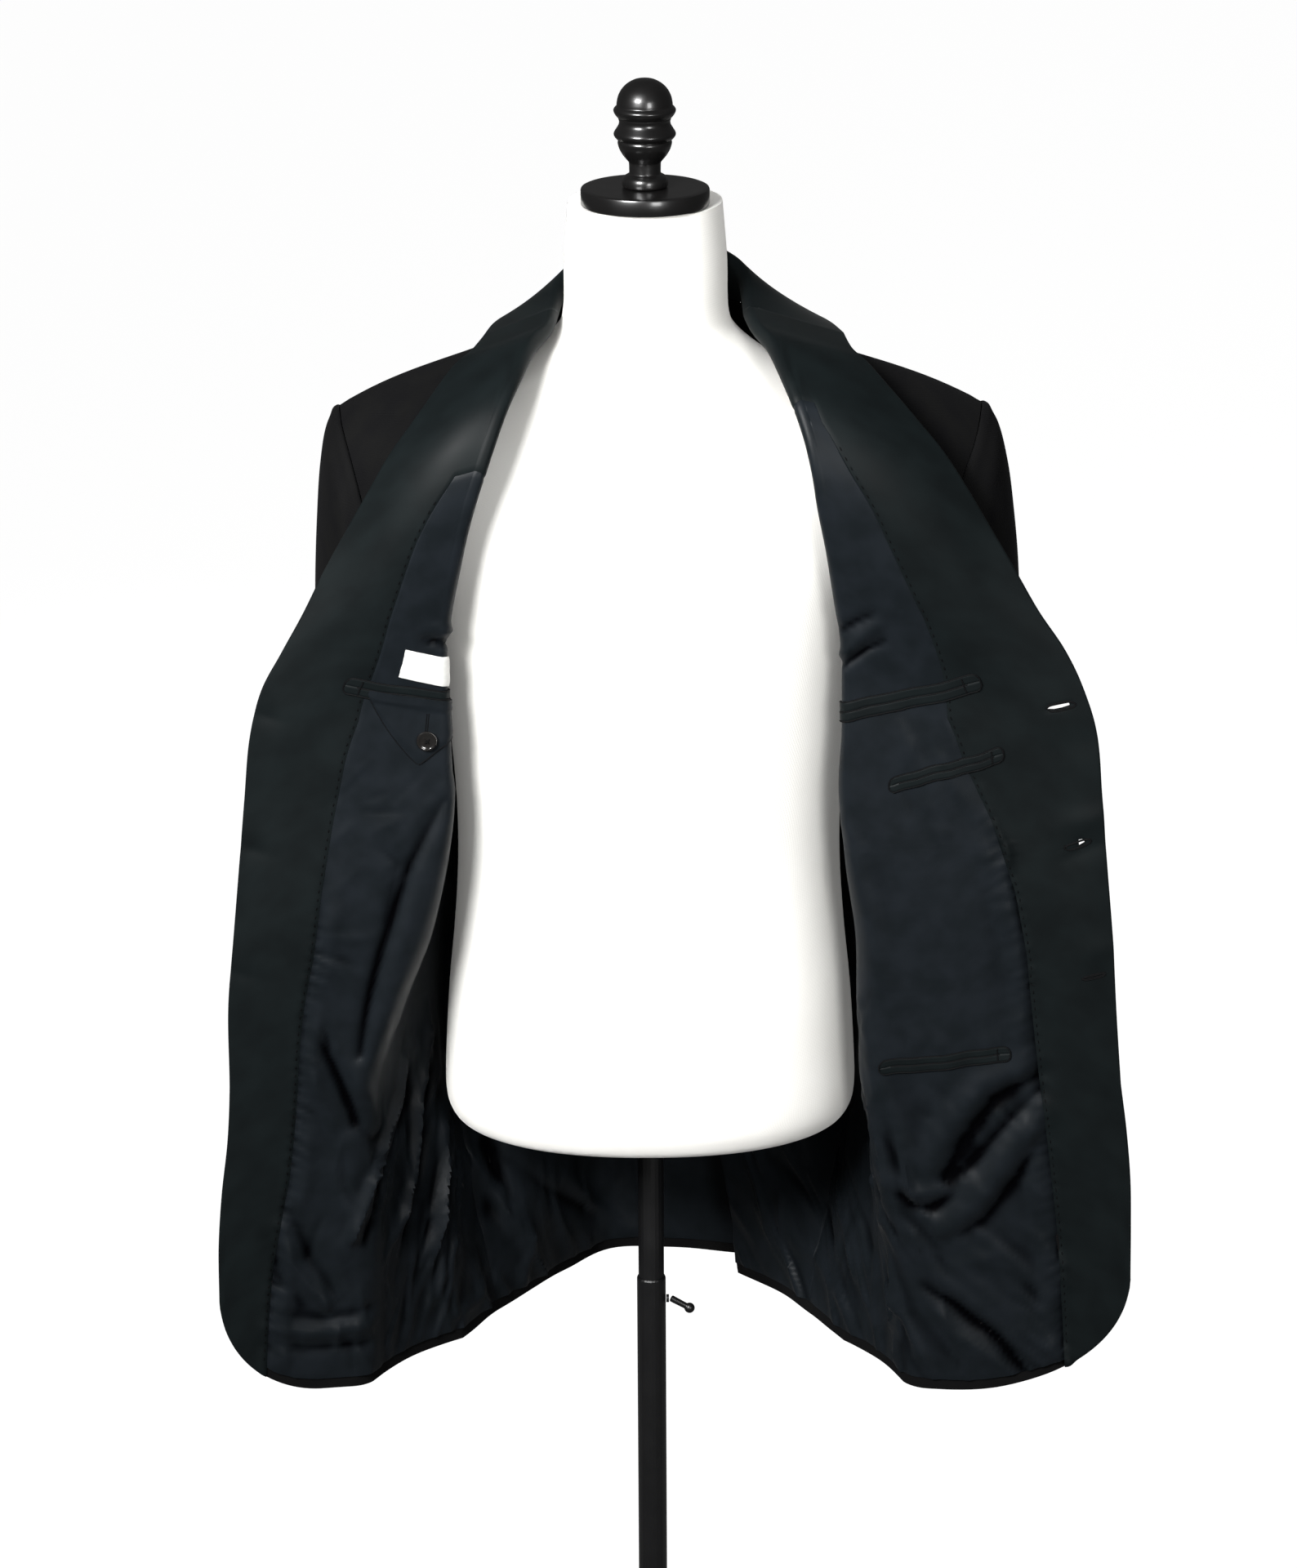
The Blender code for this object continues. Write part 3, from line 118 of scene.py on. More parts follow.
# %% Floor and world
FLOOR_HALF = 30.0
FLOOR_GLOW = {"To Min": 0.05, "To Max": 0.97}  # on things, and seen by the camera
WORLD_GLOW = {"To Min": 0.07, "To Max": 1.0}
floor_mesh = bpy.data.meshes.new("floor")
corners = [(FLOOR_HALF * x, FLOOR_HALF * y, 0) for x, y in ((-1, -1), (1, -1), (1, 1), (-1, 1))]
floor_mesh.from_pydata(corners, [], [(0, 1, 2, 3)])
floor = bpy.data.objects.new("floor", floor_mesh)
bpy.context.scene.collection.objects.link(floor)
paper, tree, shader = new_material(
    "studio_paper", Base_Color=linear("#626261"), Roughness=0.9, Emission_Color=linear("#ffffff"),
)
seen = add_node(tree, "ShaderNodeLightPath").outputs["Is Camera Ray"]
glow = add_node(tree, "ShaderNodeMapRange", {"Value": seen, **FLOOR_GLOW})
join(tree, shader, Emission_Strength=glow.outputs["Result"])
floor_mesh.materials.append(paper)

world = bpy.data.worlds.new("studio")
world.use_nodes = True
bpy.context.scene.world = world
sky = world.node_tree
backdrop = sky.nodes["Background"]
backdrop.inputs["Color"].default_value = linear("#ffffff")
seen = add_node(sky, "ShaderNodeLightPath").outputs["Is Camera Ray"]
glow = add_node(sky, "ShaderNodeMapRange", {"Value": seen, **WORLD_GLOW})
join(sky, backdrop, Strength=glow.outputs["Result"])
bpy.context.scene.view_settings.view_transform = "Standard"

# %% Lamps


def soft_lamp(name, place, aim, size, power, spread=180.0, shines=True):
    """Hang one large soft lamp that looks at a point, with a beam of so many degrees."""
    lamp = bpy.data.lights.new(name, "AREA")
    lamp.shape = "RECTANGLE"
    lamp.size, lamp.size_y = size
    lamp.energy = power
    lamp.spread = math.radians(spread)
    hung = bpy.data.objects.new(name, lamp)
    hung.location = place
    hung.rotation_euler = (Vector(aim) - Vector(place)).to_track_quat("-Z", "Y").to_euler()
    hung.visible_glossy = shines
    bpy.context.scene.collection.objects.link(hung)
    return hung


# The lamps above and behind only model the form. Black cloth shows no shine of them.
CHEST = (0.0, 0.0, 1.15)
soft_lamp("lamp_key", (-1.5, -2.5, 2.8), (-0.16, 0.0, 1.32), (1.3, 1.0), 24.0, spread=50.0)
soft_lamp("lamp_fill", (1.2, -3.3, 1.9), (0.1, 0.0, 1.35), (1.0, 1.0), 6.0, spread=55.0)
soft_lamp("lamp_above", (0.1, -0.2, 3.6), CHEST, (2.0, 1.6), 18.0, shines=False)
soft_lamp("lamp_behind", (0.6, 3.2, 2.0), CHEST, (2.4, 2.0), 40.0, shines=False)

# %% [markdown]
# ## Cloth finishes
# Every cloth here is black, so what tells them apart is how each weave returns light. The patterns
# are drawn in the cloth's own flat measures, kept as a map called "cut" in metres, so that they
# bend with the cloth.

# %% Threads


def flat_place(tree, per_metre, angle=0.0):
    """Return the cloth's flat place, scaled to so many repeats a metre and turned by an angle."""
    place = add_node(tree, "ShaderNodeUVMap", uv_map="cut").outputs["UV"]
    return add_node(tree, "ShaderNodeMapping", {
        "Vector": place, "Rotation": (0.0, 0.0, angle), "Scale": (per_metre,) * 3,
    }).outputs["Vector"]


def wave_scale(mm):
    """Return the scale that makes a wave texture's bands so many millimetres wide."""
    return 2 * math.pi / 20 / (mm / 1000)


def woven(tree, shader, rib_mm, angle, depth_mm, light, dark, patch_mm, fuzz=0.35):
    """Give a cloth its ribs as bump and an uneven dye, and return the dye's patches."""
    ribs = add_node(tree, "ShaderNodeTexWave", {
        "Vector": flat_place(tree, 1.0, angle), "Scale": wave_scale(rib_mm),
        "Distortion": 0.6, "Detail": 1.5, "Detail Scale": 1.2,
    }, bands_direction="X")
    fluff = add_node(tree, "ShaderNodeTexNoise", {
        "Vector": flat_place(tree, 1000.0 / (rib_mm * 1.7)), "Detail": 3.0,
    })
    mixed = add_node(tree, "ShaderNodeMix", {
        "Factor": fuzz, "A": ribs.outputs["Fac"], "B": fluff.outputs["Fac"],
    })
    bump = add_node(tree, "ShaderNodeBump", {
        "Strength": 0.55, "Distance": depth_mm / 1000.0, "Height": mixed.outputs["Result"],
    })
    patches = add_node(tree, "ShaderNodeTexNoise", {
        "Vector": flat_place(tree, 1000.0 / patch_mm), "Detail": 2.0, "Roughness": 0.5,
    }).outputs["Fac"]
    dye = add_node(tree, "ShaderNodeMapRange", {"Value": patches, "From Min": 0.35, "From Max": 0.65})
    shade = add_node(tree, "ShaderNodeMixRGB", {
        "Fac": dye.outputs["Result"], "Color1": linear(dark), "Color2": linear(light),
    })
    join(tree, shader, Normal=bump.outputs["Normal"], Base_Color=shade.outputs["Color"])
    return patches


# %% [markdown]
# Wool barathea is the matt black outside: fine worsted threads in a broken rib, pressed flat. Its
# real rib is about 0.5 mm, too fine for this picture, so it is drawn at 1.1 mm. A little sheen
# stands for the short fibres that catch light along the cloth's turning edges.

# %% Wool barathea
FINISHES = {}
made, tree, shader = new_material(
    "wool_barathea", Roughness=0.85, IOR=1.5, Specular_IOR_Level=0.10,
    Sheen_Weight=0.015, Sheen_Roughness=0.45, Sheen_Tint=linear("#c9cad2"),
)
woven(tree, shader, 1.1, math.radians(63), 0.16, "#090909", "#060607", 120.0)
FINISHES["wool"] = made

# %% [markdown]
# The facing is silk-and-viscose satin: long floating warp threads lie side by side, so it is smooth
# and shines in broad soft bands, darker and lighter as the cloth turns. Its threads are 0.1 mm; they
# are drawn as faint 0.9 mm streaks along the warp. Noise in the roughness breaks the sheen a little.

# %% Silk satin
made, tree, shader = new_material(
    "silk_satin", IOR=1.5, Specular_IOR_Level=0.09, Sheen_Weight=0.02, Sheen_Roughness=0.3,
)
patches = woven(tree, shader, 0.9, math.radians(90), 0.035, "#0e1314", "#0b0f10", 150.0, 0.55)
gloss = add_node(tree, "ShaderNodeMapRange", {
    "Value": patches, "From Min": 0.3, "From Max": 0.7, "To Min": 0.49, "To Max": 0.54,
})
join(tree, shader, Roughness=gloss.outputs["Result"])
FINISHES["satin"] = made

# %% [markdown]
# The lining is a thin viscose twill with a blue-green cast. It is as smooth as satin but its fine
# diagonal makes the shine greyer and wider. The twill's 0.4 mm lines are drawn at 0.8 mm. In a deep
# crease, kept as "crease" from 0 to 1, the colour is darkened towards black and the shine is cut:
# painted shade for cloth that lies on itself there.

# %% Viscose lining
made, tree, shader = new_material(
    "viscose_twill", IOR=1.5, Sheen_Weight=0.015, Sheen_Roughness=0.35,
)
patches = woven(tree, shader, 0.8, math.radians(45), 0.05, "#14181c", "#101417", 110.0, 0.4)
gloss = add_node(tree, "ShaderNodeMapRange", {
    "Value": patches, "From Min": 0.3, "From Max": 0.7, "To Min": 0.41, "To Max": 0.47,
})
# Painted shade: deep creases darken the colour towards #020203 and cut the shine.
crease = add_node(tree, "ShaderNodeAttribute", attribute_name="crease").outputs["Fac"]
dyed = shader.inputs["Base Color"].links[0].from_socket
painted_crease_shade = add_node(tree, "ShaderNodeMixRGB", {
    "Fac": crease, "Color1": dyed, "Color2": linear("#020203"),
})
shine = add_node(tree, "ShaderNodeMapRange", {"Value": crease, "To Min": 0.11, "To Max": 0.01})
join(
    tree, shader, Roughness=gloss.outputs["Result"], Base_Color=painted_crease_shade.outputs["Color"],
    Specular_IOR_Level=shine.outputs["Result"],
)
FINISHES["lining"] = made

# %% [markdown]
# The label is a damask ribbon in off-white; sewing thread is mercerised cotton, a touch shinier than
# the wool. Buttons are cast polyester that imitates horn: black, with cloudy depth under a polish.

# %% Ribbon, thread and horn
made, tree, shader = new_material("damask_ribbon", Roughness=0.55, IOR=1.5)
woven(tree, shader, 0.7, 0.0, 0.06, "#dededb", "#d4d4d1", 25.0)
FINISHES["label"] = made
made, tree, shader = new_material("cotton_thread", Roughness=0.6, IOR=1.5, Specular_IOR_Level=0.08)
spun = add_node(tree, "ShaderNodeTexNoise", {"Scale": 900.0, "Detail": 2.0})
shade = add_node(tree, "ShaderNodeMixRGB", {
    "Fac": spun.outputs["Fac"], "Color1": linear("#060607"), "Color2": linear("#0e0f10"),
})
join(tree, shader, Base_Color=shade.outputs["Color"])
FINISHES["thread"] = made
made, tree, shader = new_material(
    "cast_horn", Roughness=0.16, IOR=1.54, Coat_Weight=0.6, Coat_Roughness=0.05,
)
cloudy = add_node(tree, "ShaderNodeTexNoise", {"Scale": 160.0, "Detail": 4.0, "Distortion": 1.2})
shade = add_node(tree, "ShaderNodeMixRGB", {
    "Fac": cloudy.outputs["Fac"], "Color1": linear("#0c0c0d"), "Color2": linear("#1f1d1b"),
})
join(tree, shader, Base_Color=shade.outputs["Color"])
FINISHES["button"] = made

# %% [markdown]
# ## Form and stand finishes
# The form is covered in white cotton jersey over wadding: a knit with 1.2 mm wales, drawn at 2 mm.
# The cap and finial are turned wood under black lacquer, the pole is black enamelled steel tube,
# and the base is cast iron under black stove enamel with a fine orange-peel skin.

# %% Jersey, lacquer, enamel
made, tree, shader = new_material("cotton_jersey", Roughness=0.85, IOR=1.5, Sheen_Weight=0.15)
wales, courses = (
    add_node(tree, "ShaderNodeTexWave", {
        "Vector": flat_place(tree, 1.0), "Scale": wave_scale(apart_mm), "Distortion": 1.0,
    }, bands_direction=way).outputs["Fac"]
    for apart_mm, way in ((2.0, "X"), (1.6, "Y"))
)
knit = add_node(tree, "ShaderNodeMath", {0: wales, 1: courses}, operation="MULTIPLY")
bump = add_node(tree, "ShaderNodeBump", {
    "Strength": 0.35, "Distance": 0.0002, "Height": knit.outputs["Value"],
})
soil = add_node(tree, "ShaderNodeTexNoise", {"Scale": 9.0, "Detail": 4.0})
shade = add_node(tree, "ShaderNodeMixRGB", {
    "Fac": soil.outputs["Fac"], "Color1": linear("#dddbd6"), "Color2": linear("#e6e5e1"),
})
join(tree, shader, Normal=bump.outputs["Normal"], Base_Color=shade.outputs["Color"])
FINISHES["jersey"] = made


def coated(name, dark, light, roughness, grain_mm, depth_mm, coat):
    """Make a lacquer or enamel: an uneven dark colour under a clear coat, with a fine skin."""
    made, tree, shader = new_material(name, Coat_Weight=coat, Coat_Roughness=0.10)
    place = add_node(tree, "ShaderNodeTexCoord").outputs["Object"]
    skin = add_node(tree, "ShaderNodeTexNoise", {
        "Vector": place, "Scale": 1000.0 / grain_mm, "Detail": 3.0,
    })
    bump = add_node(tree, "ShaderNodeBump", {
        "Strength": 0.25, "Distance": depth_mm / 1000.0, "Height": skin.outputs["Fac"],
    })
    wear = add_node(tree, "ShaderNodeTexNoise", {
        "Vector": place, "Scale": 45.0, "Detail": 5.0,
    }).outputs["Fac"]
    shade = add_node(tree, "ShaderNodeMixRGB", {
        "Fac": wear, "Color1": linear(dark), "Color2": linear(light),
    })
    worn = add_node(tree, "ShaderNodeMapRange", {
        "Value": wear, "To Min": roughness * 0.8, "To Max": roughness * 1.25,
    })
    join(
        tree, shader, Normal=bump.outputs["Normal"], Base_Color=shade.outputs["Color"],
        Roughness=worn.outputs["Result"],
    )
    return made


FINISHES["turned_wood"] = coated("lacquered_wood", "#080808", "#100f0f", 0.30, 6.0, 0.05, 0.30)
FINISHES["pole_steel"] = coated("enamelled_steel", "#080809", "#0e0e0f", 0.38, 2.5, 0.03, 0.10)
FINISHES["base_iron"] = coated("enamelled_iron", "#0b0b0c", "#141415", 0.42, 3.0, 0.12, 0.15)
print("finishes:", sorted(FINISHES))

# %% [markdown]
# ## The cut of the fronts
# Each half of the jacket is one grid of points: rows run down from the shoulder to the hem, columns
# run from the front edge, round the fold where the front is turned back, to the side and the
# centre back. The tables hold the measured places; a smooth curve through them gives every row.
# Another way is to sculpt or simulate the cloth, but only a table keeps neighbouring pieces on one
# shared seam line.

# %% Tables of the fronts
FRONT_DROP = {"left": 0.003, "right": 0.008}
DROP_REACH = {"left": 0.30, "right": 0.55}
CORNER = {"left": (0.075, 0.076), "right": (0.135, 0.095)}
FRONT_COLUMNS = (
    "fold_left", "fold_right", "fold_y", "fold_z",
    "edge_left", "edge_right", "edge_y", "edge_z",
    "seam_half", "seam_y", "seam_z", "middle", "bend", "crown",
)
FRONT_ROWS = (
    (0.0630, 0.0700, 0.004, 1.3480, 0.1130, 0.1385, 0.000, 1.3325, 0.2250, 0.000, 1.2830, 0.010, 0.0042, 0.001),
    (0.0665, 0.0745, -0.022, 1.3440, 0.1215, 0.1435, -0.028, 1.3285, 0.2220, -0.022, 1.2750, 0.010, 0.0042, 0.003),
    (0.0780, 0.0850, -0.050, 1.3375, 0.1320, 0.1530, -0.043, 1.3230, 0.2165, -0.040, 1.2615, 0.010, 0.0042, 0.004),
    (0.0880, 0.0945, -0.080, 1.3230, 0.1440, 0.1665, -0.060, 1.3110, 0.2100, -0.052, 1.2440, 0.009, 0.0042, 0.006),
    (0.0968, 0.1023, -0.098, 1.3080, 0.1595, 0.1850, -0.075, 1.2920, 0.2050, -0.059, 1.2250, 0.009, 0.0042, 0.008),
    (0.1050, 0.1095, -0.109, 1.2880, 0.1765, 0.2040, -0.083, 1.2700, 0.1995, -0.061, 1.2050, 0.009, 0.0042, 0.009),
    (0.1130, 0.1150, -0.1145, 1.2650, 0.1910, 0.2200, -0.086, 1.2460, 0.1945, -0.058, 1.1860, 0.008, 0.0042, 0.009),
    (0.1209, 0.1190, -0.1140, 1.2400, 0.2075, 0.2370, -0.086, 1.2170, 0.1890, -0.050, 1.1670, 0.007, 0.0045, 0.009),
    (0.1290, 0.1255, -0.1090, 1.2070, 0.2240, 0.2540, -0.086, 1.1880, 0.1840, -0.035, 1.1490, 0.006, 0.0045, 0.008),
    (0.1365, 0.1310, -0.1010, 1.1700, 0.2400, 0.2720, -0.086, 1.1560, 0.1780, -0.012, 1.1360, 0.005, 0.0050, 0.007),
    (0.1415, 0.1360, -0.0930, 1.1330, 0.2555, 0.2905, -0.085, 1.1280, 0.1700, 0.012, 1.1270, 0.004, 0.0050, 0.006),
    (0.1415, 0.1376, -0.0880, 1.1000, 0.2705, 0.3040, -0.0845, 1.1000, 0.1610, 0.026, 1.1000, 0.003, 0.0050, 0.005),
    (0.1410, 0.1382, -0.0870, 1.0650, 0.2795, 0.3148, -0.084, 1.0650, 0.1570, 0.032, 1.0650, 0.002, 0.0050, 0.005),
    (0.1415, 0.1378, -0.0850, 1.0200, 0.2845, 0.3193, -0.0835, 1.0200, 0.1530, 0.036, 1.0200, 0.001, 0.0070, 0.005),
    (0.1470, 0.1430, -0.0840, 0.9700, 0.2897, 0.3238, -0.083, 0.9700, 0.1515, 0.038, 0.9700, 0.001, 0.0090, 0.005),
    (0.1600, 0.1520, -0.0820, 0.9150, 0.2954, 0.3290, -0.082, 0.9150, 0.1530, 0.038, 0.9150, 0.001, 0.0130, 0.005),
    (0.1820, 0.1548, -0.0780, 0.8600, 0.3010, 0.3330, -0.0815, 0.8600, 0.1570, 0.036, 0.8600, 0.001, 0.0160, 0.004),
    (0.2040, 0.1578, -0.0730, 0.8000, 0.3020, 0.3379, -0.081, 0.8000, 0.1600, 0.034, 0.8000, 0.001, 0.0200, 0.003),
    (0.2100, 0.1690, -0.0690, 0.7400, 0.3050, 0.3432, -0.080, 0.7400, 0.1580, 0.030, 0.7400, 0.001, 0.0220, 0.002),
    (0.2120, 0.1797, -0.0650, 0.6800, 0.3105, 0.3468, -0.0795, 0.6800, 0.1530, 0.026, 0.6800, 0.001, 0.0240, 0.001),
    (0.2125, 0.1890, -0.0620, 0.6200, 0.3140, 0.3480, -0.079, 0.6200, 0.1480, 0.022, 0.6200, 0.001, 0.0240, 0.000),
    (0.2120, 0.1930, -0.0600, 0.5580, 0.3145, 0.3485, -0.078, 0.5580, 0.1430, 0.018, 0.5580, 0.001, 0.0240, 0.000),
)
FACING_ROWS = (
    (1.300, 0.075, 0.079),
    (1.260, 0.067, 0.084),
    (1.200, 0.063, 0.086),
    (1.150, 0.066, 0.086),
    (1.110, 0.073, 0.094),
    (1.080, 0.074, 0.102),
    (1.050, 0.069, 0.097),
    (1.005, 0.064, 0.080),
    (0.950, 0.060, 0.067),
    (0.900, 0.058, 0.062),
    (0.820, 0.050, 0.059),
    (0.720, 0.045, 0.055),
    (0.650, 0.038, 0.051),
    (0.558, 0.032, 0.046),
)
FACING_COLUMNS = ("z", "left", "right")
FACING_TO_FOLD = {"left": 6, "right": 4}
print("front rows:", len(FRONT_ROWS))

# %% [markdown]
# ## The cut of the back, the collar and the vent
# The back table is level with the front one. The vent's two halves leave the centre seam at row 17:
# the left half laps outside, the right half is drawn open.

# %% Tables of the back, collar and vent
BACK_COLUMNS = ("side_half", "side_y", "side_z", "quarter_half", "quarter_y", "centre_y", "centre_z")
BACK_ROWS = (
    (0.2250, 0.0008, 1.2830, 0.0, 0.0, 0.0880, 1.3410),
    (0.2230, 0.0220, 1.2760, 0.0, 0.0, 0.0930, 1.3200),
    (0.2180, 0.0420, 1.2615, 0.0, 0.0, 0.0985, 1.2990),
    (0.2120, 0.0550, 1.2430, 0.0, 0.0, 0.1040, 1.2780),
    (0.2065, 0.0630, 1.2230, 0.0, 0.0, 0.1090, 1.2570),
    (0.2010, 0.0670, 1.2030, 0.0, 0.0, 0.1135, 1.2360),
    (0.1950, 0.0690, 1.1850, 0.0, 0.0, 0.1170, 1.2140),
    (0.1885, 0.0690, 1.1690, 0.0, 0.0, 0.1195, 1.1920),
    (0.1810, 0.0680, 1.1540, 0.0, 0.0, 0.1210, 1.1700),
    (0.1720, 0.0660, 1.1400, 0.0, 0.0, 0.1212, 1.1480),
    (0.1620, 0.0640, 1.1270, 0.105, 0.1040, 0.1208, 1.1270),
    (0.1530, 0.0680, 1.1000, 0.104, 0.1035, 0.1195, 1.1000),
    (0.1490, 0.0710, 1.0650, 0.102, 0.1025, 0.1175, 1.0650),
    (0.1450, 0.0730, 1.0200, 0.099, 0.1005, 0.1150, 1.0200),
    (0.1430, 0.0740, 0.9700, 0.097, 0.0995, 0.1135, 0.9700),
    (0.1450, 0.0750, 0.9150, 0.098, 0.1015, 0.1165, 0.9150),
    (0.1490, 0.0770, 0.8600, 0.101, 0.1065, 0.1245, 0.8600),
    (0.1520, 0.0780, 0.8000, 0.103, 0.1130, 0.1360, 0.8000),
    (0.1480, 0.0770, 0.7400, 0.101, 0.1180, 0.1470, 0.7400),
    (0.1390, 0.0740, 0.6800, 0.096, 0.1230, 0.1600, 0.6800),
    (0.1290, 0.0710, 0.6200, 0.088, 0.1260, 0.1740, 0.6200),
    (0.1180, 0.0660, 0.5580, 0.078, 0.1200, 0.1900, 0.5580),
)
COLLAR_COLUMNS = (
    "fold_left", "fold_right", "fold_y", "fold_z",
    "edge_left", "edge_right", "edge_y", "edge_z",
    "foot_half", "foot_y", "foot_z", "middle", "bend", "crown",
)
COLLAR_TABLE = (
    (0.0630, 0.0700, 0.004, 1.3480, 0.1130, 0.1385, 0.000, 1.3325, 0.0760, 0.0038, 1.3440, 0.004, 0.0042, 0.001),
    (0.0618, 0.0700, 0.025, 1.3560, 0.1075, 0.1300, 0.031, 1.3330, 0.0715, 0.0290, 1.3430, 0.004, 0.0042, 0.001),
    (0.0606, 0.0690, 0.045, 1.3640, 0.0990, 0.1180, 0.057, 1.3330, 0.0675, 0.0480, 1.3430, 0.003, 0.0042, 0.001),
    (0.0540, 0.0610, 0.065, 1.3720, 0.0850, 0.0960, 0.078, 1.3335, 0.0570, 0.0660, 1.3425, 0.002, 0.0042, 0.001),
    (0.0390, 0.0430, 0.081, 1.3790, 0.0620, 0.0680, 0.094, 1.3350, 0.0410, 0.0780, 1.3420, 0.001, 0.0042, 0.001),
    (0.0200, 0.0220, 0.091, 1.3835, 0.0330, 0.0345, 0.103, 1.3360, 0.0210, 0.0855, 1.3420, 0.000, 0.0042, 0.001),
    (0.0000, 0.0000, 0.094, 1.3850, 0.0000, 0.0000, 0.106, 1.3365, 0.0000, 0.0880, 1.3420, 0.000, 0.0042, 0.001),
)
VENT_COLUMNS = ("row", "left", "right")
VENT_ROWS = (
    (17.0, 0.00, 0.00),
    (17.4, 0.17, 0.08),
    (18.0, 0.425, 0.34),
    (19.0, 0.76, 0.72),
    (20.0, 0.94, 0.91),
    (21.0, 1.00, 1.00),
)
VENT_PLACES = {
    "left": ((0.1010, 0.0900), (0.0650, 0.1420), (0.0300, 0.1820), (-0.0100, 0.1830), (-0.0840, 0.1670)),
    "right": ((0.0990, 0.1000), (0.0670, 0.1370)),
}
print("back rows:", len(BACK_ROWS))

# %% [markdown]
# ## How fine the cloth is cut
# A crease 6 mm wide needs points every 3 mm, or it shows corners. So each stretch between two
# seams gets enough columns for that, and the rows lie closer together below the armhole, where the
# cloth hangs free. The thicker wool takes every second row and column. Every count is even, so that
# its seams still fall on the lining's.

# %% Rows and columns
COLLAR_ROWS = 6
ARMHOLE_FOOT = 10
VENT_TOP = 17
HEM_ROW = 21
FACING_STEPS = tuple([0.0, 0.008, 0.024] + list(np.linspace(0.05, 1.0, 34)))
FLAP_STEPS = tuple(np.linspace(0.0, 1.0, 33)[1:])
ARC_SEGMENTS = 12
TURN_UNDER = 0.014
BASE_SEGMENTS = 43
SIDE_SEGMENTS = 20
BACK_SEGMENTS = 84
BODY_ROWS = tuple(np.round(np.concatenate([np.arange(0, 10, 0.1), np.arange(10, 21.01, 0.05)]), 3))
COLLAR_STEPS = tuple(np.round(np.concatenate([[0.02], np.arange(0.15, 6.01, 0.15)]), 3))
SATIN_SEAM = len(FACING_STEPS) - 1
FOLD_START = SATIN_SEAM + len(FLAP_STEPS)
FOLD_END = FOLD_START + ARC_SEGMENTS
TURNED = FOLD_END + 2
SEAM = TURNED + BASE_SEGMENTS - 1
SIDE_SEAM = SEAM + SIDE_SEGMENTS
CENTRE = SIDE_SEAM + BACK_SEGMENTS
FOOT_INDEX = BODY_ROWS.index(ARMHOLE_FOOT)
VENT_INDEX = BODY_ROWS.index(VENT_TOP)
COLLAR_COUNT = len(COLLAR_STEPS)
print("grid:", len(BODY_ROWS), "rows by", CENTRE + 1, "columns")

# %% [markdown]
# ## From table to row
# `column` reads a table between its rows along a Catmull-Rom curve, which passes through every
# measured value. `belt` lays a cloth over a bend, as a belt lies on a pulley: that is the soft roll
# where the lapel turns.

# %% Row helpers
LEAST_TURN = 0.06  # radians that a cloth keeps turning at a bend


def through(before, here, after, beyond, t):
    """Return the place at a share of the way from one value to the next, on a smooth curve."""
    return 0.5 * (
        2 * here
        + (after - before) * t
        + (2 * before - 5 * here + 4 * after - beyond) * t**2
        + (3 * here - before - 3 * after + beyond) * t**3
    )


def column(columns, rows, name, at):
    """Read a table's column at fractional rows, along a smooth curve through its values."""
    values = np.array([row[columns.index(name)] for row in rows], dtype=float)
    at = np.clip(np.asarray(at, dtype=float), 0, len(values) - 1)
    low = np.minimum(at.astype(int), len(values) - 2)
    before, beyond = values[np.maximum(low - 1, 0)], values[np.minimum(low + 2, len(values) - 1)]
    return through(before, values[low], values[low + 1], beyond, at - low)


def read_row(columns, rows, at):
    """Read all of a table's columns at one fractional row."""
    return {name: float(column(columns, rows, name, at)) for name in columns}


def shifted(side, middle):
    """Return the middle line's shift to the right, as x measured outwards on a side."""
    return middle if side == "right" else -middle


def between(columns, rows, key, name, at):
    """Read a table's column straight between its rows, by the value of a key column."""
    keys = np.array([row[columns.index(key)] for row in rows])
    values = np.array([row[columns.index(name)] for row in rows])
    order = np.argsort(keys)
    return float(np.interp(at, keys[order], values[order]))


def unit(vector):
    """Return the vector at length one."""
    return vector / max(np.linalg.norm(vector), 1e-12)


def belt(edge, tip, seam, bend):
    """Return both straight runs and the turn of a cloth that passes round a bend at its tip."""
    to_edge = unit(edge - tip)
    inward = unit(to_edge + unit(seam - tip))
    centre = tip + inward * bend
    across = unit(to_edge - inward * np.dot(to_edge, inward))

    def touch(point):
        ahead = np.dot(point - centre, -inward)
        aside = abs(np.dot(point - centre, across))
        reach = math.hypot(ahead, aside)
        return max(math.atan2(aside, ahead) - math.acos(min(bend / reach, 1.0)), LEAST_TURN)

    turns = np.linspace(touch(edge), -touch(seam), ARC_SEGMENTS + 1)
    return [centre - inward * (math.cos(a) * bend) + across * (math.sin(a) * bend) for a in turns]


def along(start, end, steps, crown, way):
    """Return points from start to end, crowned to one side."""
    return [start + (end - start) * t + way * (crown * math.sin(math.pi * t)) for t in steps]


def curve(points, segments):
    """Return evenly spaced points on a smooth curve through the given ones."""
    points = np.array(points)
    lengths = np.concatenate([[0], np.cumsum(np.linalg.norm(np.diff(points, axis=0), axis=1))])
    slopes = np.gradient(points, lengths, axis=0)
    at = np.linspace(0, lengths[-1], segments + 1)
    low = np.clip(np.searchsorted(lengths, at, side="right") - 1, 0, len(points) - 2)
    span = (lengths[low + 1] - lengths[low])[:, None]
    t = ((at - lengths[low]) / span[:, 0])[:, None]
    return (
        (1 + 2 * t) * (1 - t) ** 2 * points[low]
        + t * (1 - t) ** 2 * span * slopes[low]
        + t**2 * (3 - 2 * t) * points[low + 1]
        + t**2 * (t - 1) * span * slopes[low + 1]
    )


# %% [markdown]
# A row of the front runs from the free edge over the satin and lining to the fold, round it, and
# back to the armhole or the side seam. The crown terms keep each stretch from lying dead flat.

